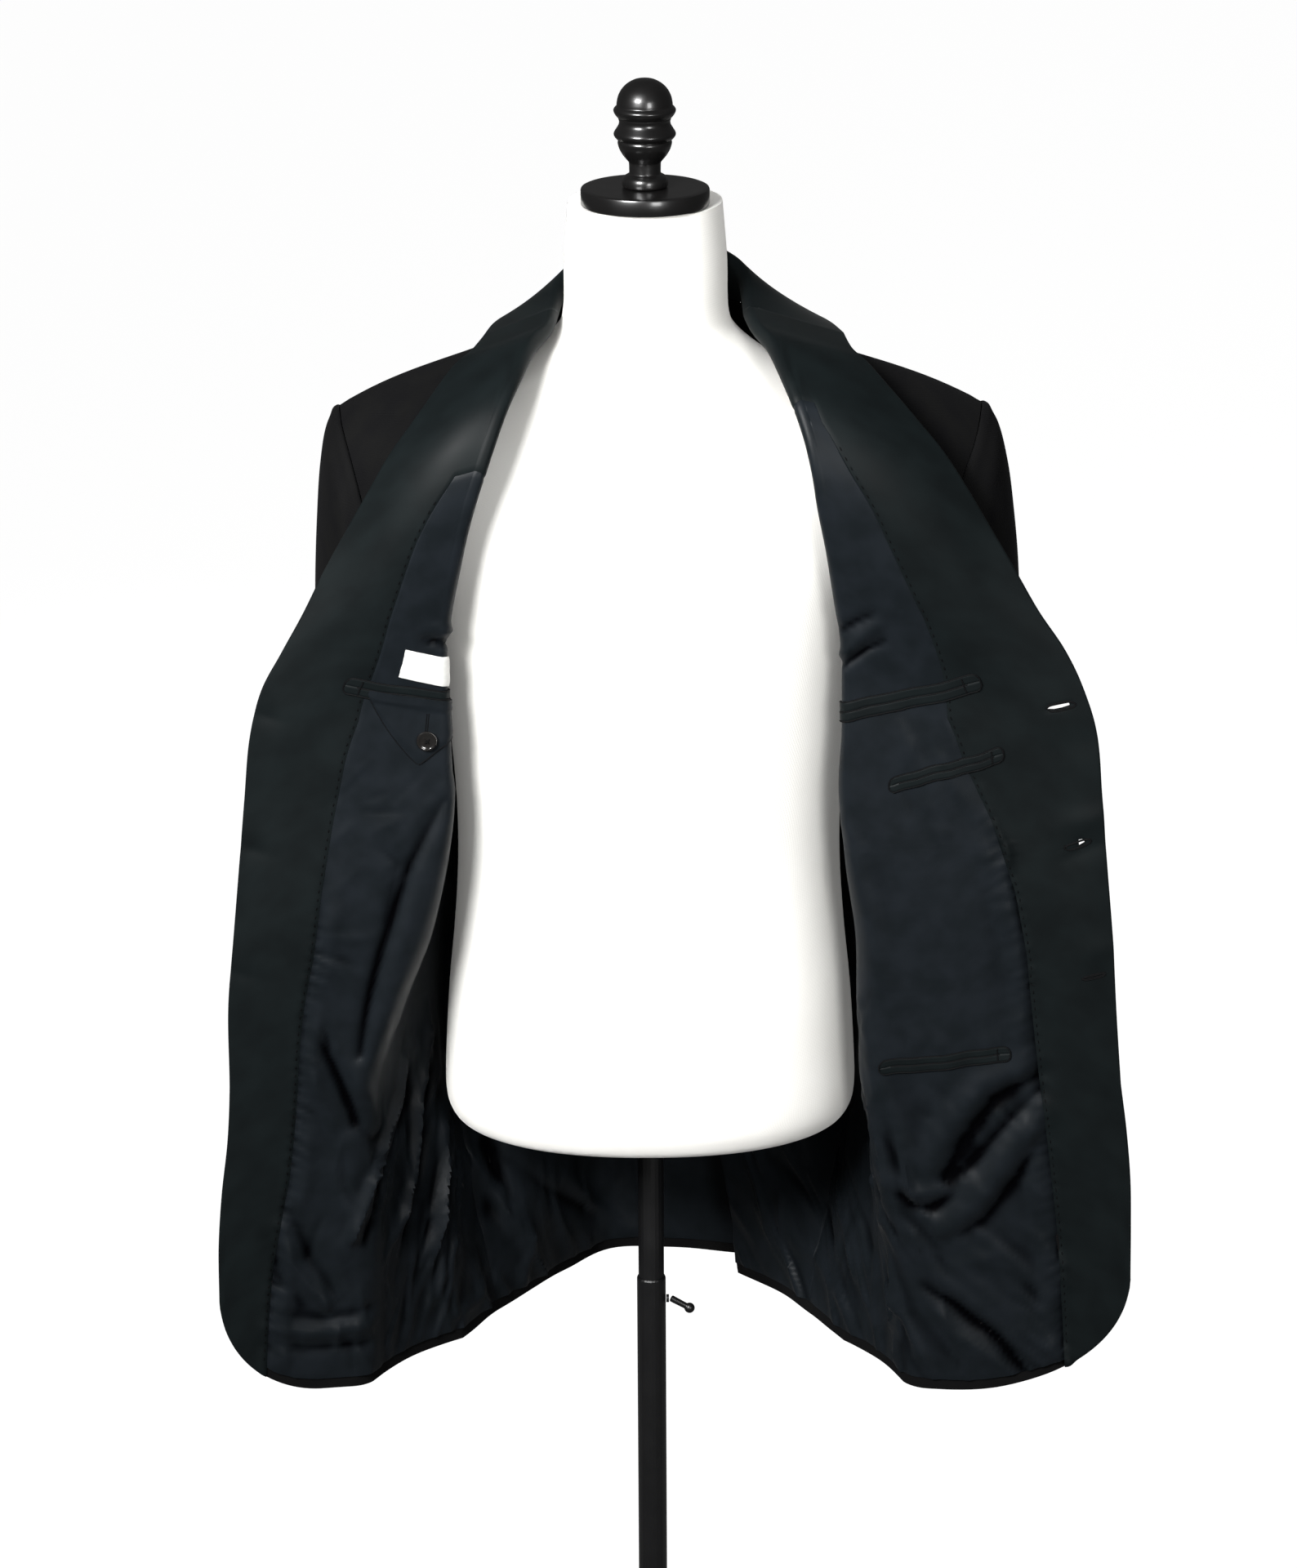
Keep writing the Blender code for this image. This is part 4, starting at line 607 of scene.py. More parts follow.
# %% Rows of the front
WIDEST_FACING = 0.90
COLLAR_LEFT_DROP = 0.008
BASE_CROWN = 0.005
BASE_TILT = 0.35
SHOULDER_CROWN = 0.0040
SHOULDER_ROWS = 3
TOWARDS_VIEWER = np.array([0.0, -1.0, 0.0])


def front_anchor(side, row, table=FRONT_ROWS, columns=FRONT_COLUMNS, seam="seam"):
    """Return a row's edge, fold and seam points, with x measured outwards from the centre."""
    read = read_row(columns, table, row)
    shift = shifted(side, read["middle"])
    edge = np.array([read[f"edge_{side}"], read["edge_y"], read["edge_z"]])
    fold = np.array([read[f"fold_{side}"], read["fold_y"], read["fold_z"]])
    foot = np.array([read[f"{seam}_half"] + shift, read[f"{seam}_y"], read[f"{seam}_z"]])
    if table is COLLAR_TABLE and side == "left":
        fold[2] -= COLLAR_LEFT_DROP * math.sin(math.pi * row / COLLAR_ROWS)
    return edge, fold, foot, read["bend"], read["crown"]


def flap_steps(share):
    """Return the flap's columns as shares of its width, with one on the satin's seam."""
    satin = [share * t for t in FACING_STEPS]
    return satin + [share + (1 - share) * t for t in FLAP_STEPS]


def front_path(side, row):
    """Return a row of the front: from its edge to the fold, round it, and on to the seam."""
    edge, fold, seam, bend, crown = front_anchor(side, row)
    turn = belt(edge, fold, seam, bend)
    width = between(FACING_COLUMNS, FACING_ROWS, "z", side, edge[2])
    share = min(width / np.linalg.norm(turn[0] - edge), WIDEST_FACING)
    flap = along(edge, turn[0], flap_steps(share), crown, TOWARDS_VIEWER)
    chord = seam - turn[-1]
    outward = unit(np.array([chord[1], -chord[0], BASE_TILT * abs(chord[0])]))
    under = TURN_UNDER / np.linalg.norm(chord)
    steps = [0, under / 2] + list(np.linspace(under, 1, BASE_SEGMENTS))
    base = along(turn[-1], seam, steps, BASE_CROWN, outward)
    at_shoulder = max(1 - row / SHOULDER_ROWS, 0)
    for point, t in zip(base, steps):
        point += SHOULDER_CROWN * math.sin(math.pi * t * t) * at_shoulder * np.array([0, 0, 1])
    return flap + turn[1:] + base[1:]


# %% [markdown]
# The back hangs from the shoulder seam and the neckline. Between its four borders it is blended
# like a stretched sheet, with a gentle shoulder blade. Below the armhole a smooth curve runs over
# the side panel to the centre seam, and the vent is drawn aside.

# %% Rows of the back
SHOULDER_BLADE = 0.014
NECKLINE_FROM = 0.8
FINE_STEPS = 400


def neckline(side):
    """Return the foot of the collar from the shoulder seam to the centre back."""
    rows = np.linspace(NECKLINE_FROM, COLLAR_ROWS, 7)
    return [front_anchor(side, row, COLLAR_TABLE, COLLAR_COLUMNS, "foot")[2] for row in rows]


def back_top(side, segments):
    """Return the back's top edge: the shoulder seam, then the neckline."""
    on_shoulder = segments * 3 // 7
    shoulder = curve(np.array(front_path(side, 0)[TURNED:])[::-1], on_shoulder)
    neck = curve(np.vstack([shoulder[-1:], neckline(side)]), segments - on_shoulder)
    return np.vstack([shoulder, neck[1:]])


def lower_back_path(side, row, seam):
    """Return a row below the armhole: across the side panel, then across the back."""
    read = read_row(BACK_COLUMNS, BACK_ROWS, row)
    shift = shifted(side, float(column(FRONT_COLUMNS, FRONT_ROWS, "middle", row)))
    z = seam[2]
    side_point = np.array([read["side_half"] + shift, read["side_y"], z])
    quarter = np.array([read["quarter_half"], read["quarter_y"], z])
    centre = np.array([0.0, read["centre_y"], z])
    other_quarter = quarter * np.array([-1.0, 1.0, 1.0])
    whole = curve([seam, side_point, quarter, centre, other_quarter], FINE_STEPS)
    first = int(np.argmin(np.linalg.norm(whole - side_point, axis=1)))
    last = int(np.argmin(np.linalg.norm(whole - centre, axis=1)))
    across = whole[np.linspace(0, first, SIDE_SEGMENTS + 1).astype(int)]
    back = whole[np.linspace(first, last, BACK_SEGMENTS + 1).astype(int)]
    across[-1] = back[0] = side_point
    back[-1] = centre
    opened = between(VENT_COLUMNS, VENT_ROWS, "row", side, row)
    places = [np.array([x, y, z]) for x, y in VENT_PLACES[side]]
    drawn = curve([side_point] + places, BACK_SEGMENTS)
    return across, back * (1 - opened) + drawn * opened


def upper_back_rows(side, rows):
    """Return the back from the shoulder to the armhole's foot, blended from its four borders."""
    top = back_top(side, BACK_SEGMENTS)
    seam = front_anchor(side, ARMHOLE_FOOT)[2]
    foot = lower_back_path(side, ARMHOLE_FOOT, seam)[1]
    u = np.linspace(0, 1, BACK_SEGMENTS + 1)[:, None]
    made = []
    for row in rows:
        read = read_row(BACK_COLUMNS, BACK_ROWS, row)
        shift = shifted(side, float(column(FRONT_COLUMNS, FRONT_ROWS, "middle", row)))
        arm = np.array([read["side_half"] + shift, read["side_y"], read["side_z"]])
        centre = np.array([0.0, read["centre_y"], read["centre_z"]])
        level = row / ARMHOLE_FOOT
        w = math.sin(math.pi / 2 * level)
        corners = (
            (1 - u) * (1 - w) * top[0] + u * (1 - w) * top[-1]
            + (1 - u) * w * foot[0] + u * w * foot[-1]
        )
        sheet = (1 - w) * top + w * foot + (1 - u) * arm + u * centre - corners
        bulge = SHOULDER_BLADE * np.sin(math.pi * u) * math.sin(math.pi * level)
        sheet[:, 1] += bulge[:, 0]
        made.append(sheet)
    return made


# %% [markdown]
# ## The whole half jacket
# The rows are stacked into one grid, and the front's lower corner is rounded by lifting its points.
# The mean direction across each point is the way out of the cloth.

# %% Grids


def distances(grid):
    """Return each point's distance from the front edge, along its row."""
    steps = np.linalg.norm(np.diff(grid, axis=1), axis=2)
    return np.concatenate([np.zeros((len(grid), 1)), np.cumsum(steps, axis=1)], axis=1)


def round_corner(side, grid):
    """Round the front's lower corner and set the height of its hem."""
    reach, rise = CORNER[side]
    rows = np.array(BODY_ROWS, dtype=float)
    share = np.clip((rows - VENT_TOP) / (HEM_ROW - VENT_TOP), 0, 1)
    lengths = distances(grid)
    inside = np.clip(1 - lengths[-1] / reach, 0, 1)
    lift = rise * (1 - np.sqrt(1 - inside**2))
    fade = np.clip(1 - lengths[-1] / DROP_REACH[side], 0, 1)
    drop = FRONT_DROP[side] * fade * fade * (3 - 2 * fade)
    grid[:, :, 2] += share[:, None] * (lift - drop)[None, :]
    return grid


def body_grid(side):
    """Return the half jacket's cloth surface as a grid of points, x measured outwards."""
    upper = [row for row in BODY_ROWS if row < ARMHOLE_FOOT]
    upper_back = upper_back_rows(side, upper)
    grid = []
    for index, row in enumerate(BODY_ROWS):
        front = np.array(front_path(side, row))
        if row < ARMHOLE_FOOT:
            back = upper_back[index]
            across = front[-1] + (back[0] - front[-1]) * np.linspace(0, 1, SIDE_SEGMENTS + 1)[:, None]
        else:
            across, back = lower_back_path(side, row, front[-1])
        grid.append(np.vstack([front, across[1:], back[1:]]))
    return round_corner(side, np.array(grid))


def normals(grid):
    """Return the outward directions of a grid whose rows run down and columns run backwards."""
    down = np.gradient(grid, axis=0)
    across = np.gradient(grid, axis=1)
    facing = np.cross(down, across)
    size = np.linalg.norm(facing, axis=2, keepdims=True)
    return facing / np.maximum(size, 1e-12)


def mirrored(side, array):
    """Turn outward x into world x."""
    return array * np.array([1.0 if side == "right" else -1.0, 1.0, 1.0])


COLLAR_SEAM = 0.60
FOOT_CLEARANCE = 0.0014
LEAST_STAND = 0.003


def collar_path(side, row):
    """Return a row of the collar: free edge, roll line, foot of the stand."""
    edge, fold, foot, bend, crown = front_anchor(side, row, COLLAR_TABLE, COLLAR_COLUMNS, "foot")
    turn = belt(edge, fold, foot, bend)
    fall = [edge + (turn[0] - edge) * t for t in flap_steps(COLLAR_SEAM)]
    short = 1 - FOOT_CLEARANCE / max(np.linalg.norm(foot - turn[-1]), LEAST_STAND)
    stand = [turn[-1] + (foot - turn[-1]) * short * share for share in (0.5, 1.0)]
    return fall + turn[1:] + stand


def shawl_grid(side, body):
    """Return the strip of the shawl from the centre back over the shoulder to the hem."""
    collar = [collar_path(side, row) for row in COLLAR_STEPS[::-1]]
    return np.vstack([np.array(collar), body[:, :TURNED + 1]])


def body_normals(body, shawl):
    """Return a half's outward directions: level along the centre seam, one with the collar's."""
    facing = normals(body)
    facing[:VENT_INDEX + 1, CENTRE, 0] = 0
    facing[0, :TURNED + 1] = shawl[COLLAR_COUNT]
    return facing / np.linalg.norm(facing, axis=2, keepdims=True)


def shawl_normals(shawl):
    """Return the strip's outward directions, level at the centre back."""
    facing = normals(shawl)
    facing[0, :, 0] = 0
    return facing / np.linalg.norm(facing, axis=2, keepdims=True)


GRIDS = {side: body_grid(side) for side in ("left", "right")}


def fade(value, near, far):
    """Fall smoothly from one to zero between two distances."""
    t = np.clip((far - np.abs(value)) / (far - near), 0, 1)
    return t * t * (3 - 2 * t)


# %% [markdown]
# The back is drawn in two parts, above and below the arms. They meet at an angle. Cloth eases over
# such a line, so the rows near it are averaged with their neighbours, away from the side seam.

# %% Ease the back under the arms
EASE_ROUNDS = 200
EASED_ROWS = (10, 46)  # wholly eased within the first distance, not at all beyond the second
UNEASED_COLUMNS = 14
for side, grid in GRIDS.items():
    eased = grid.copy()
    for _ in range(EASE_ROUNDS):
        eased[1:-1] = (eased[:-2] + 2 * eased[1:-1] + eased[2:]) / 4
    by_row = fade(np.arange(len(grid)) - FOOT_INDEX, *EASED_ROWS)
    by_column = np.clip((np.arange(CENTRE + 1) - SIDE_SEAM) / UNEASED_COLUMNS, 0, 1)
    moved = (eased - grid) * (by_row[:, None] * by_column[None, :])[..., None]
    print(side, "back eased by up to", round(float(np.abs(moved).max()) * 1000, 1), "mm")
    grid += moved

# %% [markdown]
# ## Room for the buttonholes
# A buttonhole is a slit through the satin and the wool. To leave it open, the rows near it are
# turned to lie along the slit, and the two middle rows are pinched together at its ends. Later the
# cells between them are left out. A boolean cut would do it too, but with a ragged edge.

# %% Buttonhole rows
# inner end and outer end from the front edge, height at the middle, slope, share that stands open
BUTTONHOLES = (
    (0.0122, 0.0300, 1.0868, -0.17, 1.0),
    (0.0130, 0.0310, 0.9838, -0.30, 0.22),
    (0.0076, 0.0233, 0.8840, -0.23, 0.0),
)
SLIT_CELLS = []
SEEN_FROM = 6  # column whose heights tell the rows apart
AROUND_HOLE = (0.014, 0.026)  # rows are turned within the first distance from its middle
ABOVE_HOLE = (0.006, 0.026)
HOLE_HALF = 0.016
PINCH = 0.8


def turn_rows(grid, hole):
    """Turn the rows round one buttonhole along its slit, and remember the cells of its opening."""
    first, last, height, slope, opened = hole
    middle = (first + last) / 2
    places = distances(grid)
    heights = grid[:, SEEN_FROM, 2]
    row = 2 * int(np.argmin(abs(heights[::2] - height)))
    spacing = (heights[row - 4] - heights[row + 4]) / 8
    aside = places - middle
    level = grid[:, :, 2] - heights[row + 1]
    centre = (heights[row + 1] - height) / spacing
    shift = (centre - slope * aside / spacing) * fade(aside, *AROUND_HOLE) * fade(level, *ABOVE_HOLE)
    inside = np.clip(np.abs(aside) / ((last - first) / 2), 0, 1) ** 4 * (np.abs(aside) < HOLE_HALF)
    pinch = np.zeros(grid.shape[:2])
    pinch[row], pinch[row + 2] = inside[row] * PINCH, -inside[row + 2] * PINCH
    at = np.clip(np.arange(len(grid))[:, None] + shift + pinch, 0, len(grid) - 1.001)
    low = at.astype(int)
    columns = np.arange(grid.shape[1])[None, :]
    t = (at - low)[..., None]
    opening = (first, first + (last - first) * opened)
    ends = [2 * int(np.argmin(abs(places[row, ::2] - place))) for place in opening]
    if ends[1] > ends[0]:
        SLIT_CELLS.append((row, row + 2, ends[0], ends[1]))
    return grid[low, columns] * (1 - t) + grid[low + 1, columns] * t


for hole in BUTTONHOLES:
    GRIDS["right"] = turn_rows(GRIDS["right"], hole)
print("open slits, as rows and columns:", SLIT_CELLS)

# %% Grids of the shawl and ways out of the cloth
SHAWLS = {side: shawl_grid(side, GRIDS[side]) for side in GRIDS}
SHAWL_WAYS = {side: shawl_normals(SHAWLS[side]) for side in GRIDS}
WAYS = {side: body_normals(GRIDS[side], SHAWL_WAYS[side]) for side in GRIDS}
PLACES = {side: distances(GRIDS[side]) for side in GRIDS}
for side in GRIDS:
    round_chest = round(float(PLACES[side][FOOT_INDEX, -1]), 3)
    print(side, "half, from front edge to centre back at the chest:", round_chest)

# %% [markdown]
# ## Folds, listed
# Each crease is a line on the cloth, given by its distance from the front edge and its height in
# millimetres, with half its width and how far it rises towards the lining. A negative rise is a
# trough. The wool follows a ridge of the lining only in part, so the lining stands away from it as
# it does in a real coat. A simulation would settle into other folds than these. The lines with a
# note follow creases that are seen; those without one lie on cloth that is out of sight and are
# guessed. The lining's finest wrinkles are many and small, so chance draws them, from fixed seeds.

# %% Table of folds
# (line of (distance, height) in mm, half width, rise at its start, rise at its end)
FOLDS = {
    "left": (
        (((140, 1020), (121, 973), (106, 907), (99, 859), (94, 825)), 5, -3.0, -6.0),  # trough beside the fold's roll
        (((147, 1025), (134, 973), (122, 914), (110, 858), (93, 800)), 10, 3.0, 4.0),  # roll of the fold
        (((66, 835), (74, 818), (82, 795), (92, 770)), 5, -5.0, -6.5),  # dark crease
        (((57, 831), (62, 803), (76, 770)), 8, 2.5, 4.0),  # lip beside the crease
        (((79, 830), (90, 809), (114, 757)), 8, 1.5, 3.5),  # lip beside the crease
        (((91, 770), (108, 752), (148, 747)), 6, -2.5, -2.0),  # crease's foot
        (((167, 795), (159, 768), (132, 746), (112, 721), (108, 678)), 5, 7.0, 8.0),  # ridge 1
        (((180, 785), (171, 755), (149, 728), (131, 707), (119, 673)), 6, -3.0, -4.0),  # behind ridge 1
        (((204, 803), (184, 751), (180, 698), (161, 661)), 5, 6.0, 7.0),  # ridge 2
        (((212, 794), (197, 743), (189, 695), (180, 657)), 6, -2.5, -3.0),  # behind ridge 2
        (((226, 775), (216, 722), (217, 699), (211, 637)), 5, 6.0, 7.0),  # ridge 3
        (((222, 629), (224, 613), (219, 594)), 5, 3.0, 3.0),  # ridge 3 foot
        (((54, 692), (69, 661), (86, 641), (103, 626)), 7, 4.0, 5.0),  # s band
        (((59, 701), (81, 663), (111, 627)), 6, -2.5, -3.5),  # beside the s band
        (((47, 681), (66, 647), (85, 625)), 6, -2.0, -3.0),  # beside the s band
        (((62, 610), (94, 602), (141, 605)), 6, 2.5, 3.5),  # hem band
        (((64, 596), (96, 590), (144, 591)), 5, -1.5, -2.5),  # under the hem band
        (((76, 619), (106, 615), (137, 618)), 5, -2.0, -2.5),  # over the hem band
        (((86, 1013), (113, 1013)), 3, -0.7, -0.5),  # wrinkle
        (((87, 1022), (101, 1027)), 3, -0.6, -0.4),  # wrinkle
        (((95, 999), (112, 1007)), 4, 0.8, 0.5),  # wrinkle
        (((100, 985), (112, 974), (106, 930)), 6, -1.5, -2.5),  # long soft crease
        (((64, 907), (91, 896)), 4, -1.5, -0.8),  # under the seam
        (((64, 916), (100, 918)), 5, 1.2, 0.8),  # under the seam
        (((68, 847), (73, 830)), 3, -2.0, -1.5),  # spot
        (((277, 681), (297, 653), (332, 603)), 7, 5.0, 5.0),  # skirt ridge
        (((288, 687), (311, 651), (320, 612)), 6, -3.0, -3.0),  # skirt trough
        (((337, 607), (334, 569)), 6, 4.0, 4.0),  # skirt ridge
        (((383, 639), (420, 603), (462, 573)), 6, 4.0, 5.0),  # skirt ridge
        (((314, 671), (354, 637), (428, 592)), 7, -2.5, -3.5),  # skirt trough
        (((233, 578), (268, 578), (288, 594)), 6, 3.0, 2.0),  # low ridge
        (((97, 1152), (108, 1149), (120, 1146)), 4, 2.4, 3.2),  # tuck
        (((97, 1142), (108, 1139), (120, 1137)), 3, -2.8, -3.6),  # tuck
        (((3, 1084), (22, 1078)), 8, -1.6, -0.6),  # dimple over a button
        (((3, 985), (22, 979)), 8, -1.6, -0.6),  # dimple over a button
        (((3, 890), (20, 886)), 8, -1.4, -0.6),  # dimple over a button
        (((300, 860), (292, 760), (296, 640)), 15, -4.0, -6.0),
        (((345, 980), (352, 900), (366, 800)), 18, 3.0, 4.0),
        (((262, 1010), (286, 950), (318, 905)), 12, -2.5, -3.5),
        (((250, 960), (268, 905), (300, 860)), 10, 2.0, 3.0),
        (((400, 1120), (392, 1060), (380, 990)), 22, -2.0, -2.5),
        (((268, 1060), (272, 1000), (282, 930)), 9, 2.0, 2.5),
    ),
    "right": (
        (((58, 810), (93, 786), (124, 747), (137, 727)), 7, -6.0, -6.5),  # big crease
        (((60, 796), (88, 768), (117, 736), (136, 723)), 7, -4.0, -4.5),  # big crease's lower side
        (((68, 815), (98, 802), (128, 767), (146, 736)), 10, 3.5, 4.0),  # upper lip
        (((61, 780), (88, 747), (113, 713), (146, 681)), 11, 5.0, 5.5),  # lower lobe
        (((174, 709), (165, 702), (154, 699), (139, 710)), 5, -4.5, -4.5),  # v fold
        (((171, 724), (163, 713), (146, 715)), 8, 3.0, 3.5),  # above the v
        (((147, 675), (117, 692), (87, 726), (66, 756)), 6, -4.0, -4.5),  # under the lobe
        (((174, 695), (159, 675), (153, 649)), 8, -2.5, -2.0),  # shade
        (((140, 657), (117, 663), (104, 642)), 8, 2.5, 2.0),  # light patch
        (((173, 635), (153, 620), (132, 597), (118, 575)), 6, -3.5, -4.5),  # low crease
        (((162, 646), (141, 624), (123, 606), (110, 584)), 8, 2.5, 3.5),  # beside the low crease
        (((166, 611), (155, 594), (146, 569)), 8, 2.0, 3.0),  # low light
        (((206, 628), (200, 600), (194, 580)), 6, 3.0, 3.5),  # inner low
        (((228, 622), (201, 605), (196, 583)), 5, -2.5, -3.0),  # inner low
        (((188, 850), (184, 780), (191, 712)), 4, 2.0, 2.5),  # streak
        (((182, 842), (177, 775), (186, 719)), 4, 2.0, 2.5),  # streak
        (((196, 838), (193, 780), (200, 707)), 4, -1.8, -2.2),  # streak
        (((196, 728), (192, 688), (187, 678)), 4, -2.5, -2.5),  # streak
        (((208, 690), (202, 646), (206, 610)), 5, 2.5, 3.0),  # streak
        (((182, 998), (171, 932), (167, 878)), 7, 1.8, 2.0),  # soft edge light
        (((76, 982), (70, 941), (68, 894), (67, 846)), 6, 2.2, 2.5),  # billow by the facing
        (((86, 1028), (78, 997), (73, 970)), 5, 1.5, 2.0),  # billow by the facing
        (((384, 662), (354, 645), (320, 623)), 9, -3.0, -4.0),  # skirt
        (((365, 603), (332, 597), (288, 581)), 8, 3.5, 3.5),  # skirt
        (((161, 1126), (138, 1143), (123, 1151)), 4, 3.2, 2.4),  # tuck
        (((162, 1118), (139, 1132), (124, 1139)), 3, -3.6, -3.0),  # tuck
        (((151, 1147), (135, 1155), (122, 1160)), 3, -3.2, -2.4),  # tuck
        (((5, 1004), (34, 996)), 9, 2.4, 0.8),  # drawn by the buttonhole
        (((5, 984), (34, 972)), 8, -1.8, -0.6),  # drawn by the buttonhole
        (((4, 1062), (30, 1056)), 12, -1.2, -0.4),  # dimple
        (((4, 905), (26, 899)), 10, 1.4, 0.5),  # drawn by the buttonhole
        (((262, 900), (268, 780), (262, 640)), 14, -4.0, -5.5),
        (((300, 860), (296, 760), (304, 640)), 14, 4.0, 5.5),
        (((340, 980), (350, 890), (360, 800)), 18, -3.0, -4.0),
        (((262, 1005), (288, 950), (322, 905)), 12, -2.5, -3.5),
        (((250, 955), (270, 905), (304, 862)), 10, 2.0, 3.0),
        (((450, 1120), (440, 1060), (424, 990)), 22, 2.0, 2.5),
        (((312, 1060), (318, 1000), (330, 930)), 9, -2.0, -2.5),
    ),
}
print("folds:", {side: len(rows) for side, rows in FOLDS.items()})

# %% Lay the folds
WOOL_FOLLOWS = 0.55
SHARP_BELOW = 9  # half width in mm under which a fold gets a sharper crest


def rise_along(place, line, half_width, first, last):
    """Return how far one fold lifts each flat place of the cloth, in metres."""
    line = np.array(line) / 1000
    spans = np.linalg.norm(np.diff(line, axis=0), axis=1)
    done, best = 0.0, np.full(place.shape[:-1], 1e9)
    share = np.zeros(place.shape[:-1])
    for start, end, length in zip(line[:-1], line[1:], spans):
        t = np.clip(((place - start) @ (end - start)) / length**2, 0, 1)
        away = np.linalg.norm(place - (start + t[..., None] * (end - start)), axis=-1)
        nearer = away < best
        best = np.where(nearer, away, best)
        share = np.where(nearer, (done + t * length) / spans.sum(), share)
        done += length
    ends = 0.35 + 0.65 * np.sin(np.pi * np.clip(0.08 + 0.84 * share, 0, 1)) ** 0.7
    reach = best * 1000 / half_width
    crest = np.exp(-(reach**2))
    if half_width < SHARP_BELOW:
        crest = 0.45 * crest + 0.55 * np.exp(-1.9 * np.sqrt(reach**2 + 0.02) + 0.27)
    return crest * (first + (last - first) * share) / 1000 * ends


def unevenness(place, size_mm, waves):
    """Return a slow uneven swell of the cloth: a few crossing waves, the same on every run."""
    u, v = place[..., 0] * 1000, place[..., 1] * 1000
    swell = sum(np.sin(u / a + v / b + phase) for a, b, phase in waves)
    return swell * size_mm / 1000 / len(waves)


SLOW_WAVES = ((23.0, 71.0, 0.4), (-37.0, 29.0, 1.9), (61.0, -43.0, 3.1), (15.0, 110.0, 5.0))
FAST_WAVES = ((7.0, 31.0, 0.9), (-11.0, 13.0, 2.3), (9.0, -17.0, 4.4))


PUCKER_SEED = {"left": 11, "right": 12}
PUCKERS_FROM, PUCKERS_TO = {"left": 930.0, "right": 1010.0}, 590
PUCKER_DEPTH = {"left": 1.0, "right": 0.6}


def puckers(side):
    """Return short creases that the facing's seam draws in the lining, uneven and slanting down."""
    chance = np.random.default_rng(PUCKER_SEED[side])
    made = []
    height = PUCKERS_FROM[side]
    while height > PUCKERS_TO:
        row = int(np.argmin(abs(GRIDS[side][:, SATIN_SEAM, 2] * 1000 - height)))
        seam = PLACES[side][row, SATIN_SEAM] * 1000
        length, drop = chance.uniform(7, 20), chance.uniform(0.2, 0.9)
        rise = chance.uniform(0.7, 1.7) * PUCKER_DEPTH[side]
        ridge = ((seam - 3, height + 1), (seam + length, height - length * drop))
        trough = ((seam - 1, height - 4), (seam + length, height - 4 - length * drop))
        made.append((ridge, chance.uniform(2.2, 3.2), rise, rise * 0.4))
        made.append((trough, 2.3, -rise * 0.8, -rise * 0.2))
        height -= chance.uniform(7, 12)
    return made


WRINKLE_SEED = {"left": 21, "right": 22}
# (nearest and farthest distance from the edge, lowest and highest place, how many, lean, longest
# and rise, in mm)
CRUMPLED = {
    "left": (
        (150, 260, 590, 830, 60, 0.10, 90, 3.2), (60, 150, 575, 740, 44, -0.45, 45, 1.8),
        (265, 460, 580, 740, 44, -0.55, 80, 3.0), (75, 140, 960, 1060, 14, 0.9, 26, 0.8),
        (68, 130, 740, 900, 18, -0.30, 50, 1.1),
    ),
    "right": (
        (165, 250, 570, 880, 66, 0.05, 90, 3.0), (65, 165, 565, 700, 44, 0.75, 55, 2.2),
        (255, 480, 580, 740, 44, 0.60, 80, 3.0), (78, 150, 1028, 1078, 18, 0.05, 24, 1.0),
        (80, 160, 700, 800, 14, 0.70, 45, 1.2),
        (75, 140, 985, 1018, 8, 0.10, 20, 0.8), (80, 170, 832, 850, 8, 0.10, 16, 0.8),
    ),
}



def crumples(side):
    """Return the fine wrinkles of a soft lining: many short lines over the parts that hang slack."""
    chance = np.random.default_rng(WRINKLE_SEED[side])
    made = []
    for nearest, farthest, lowest, highest, count, lean, longest, rise in CRUMPLED[side]:
        for _ in range(count):
            d, z = chance.uniform(nearest, farthest), chance.uniform(lowest, highest)
            length, slant = chance.uniform(0.35, 1.0) * longest, lean + chance.normal(0, 0.18)
            bow = chance.normal(0, 0.08) * length
            lift = chance.uniform(0.4, 1.0) * rise * chance.choice((1, 1, -0.8))
            half = (d - slant * length / 2 + bow, z - length / 2)
            line = ((d, z), half, (d - slant * length, z - length))
            made.append((line, chance.uniform(2.8, 5.5), lift, lift * chance.uniform(0.5, 1.1)))
    return made


SLACK_FROM = {"left": 0.99, "right": 1.045}  # the lining hangs slack beside its seam below here
PRESSED_ABOVE = 1.262  # no folds near the shoulder
FADES_OVER = 0.06
SUNK_LEAST = 0.35e-3
SLACK_WELT = (0.011, 0.0065)  # the slack's distance from the seam and its half width
SEAM_GROOVE = (0.0013, 0.0028)  # depth and half width


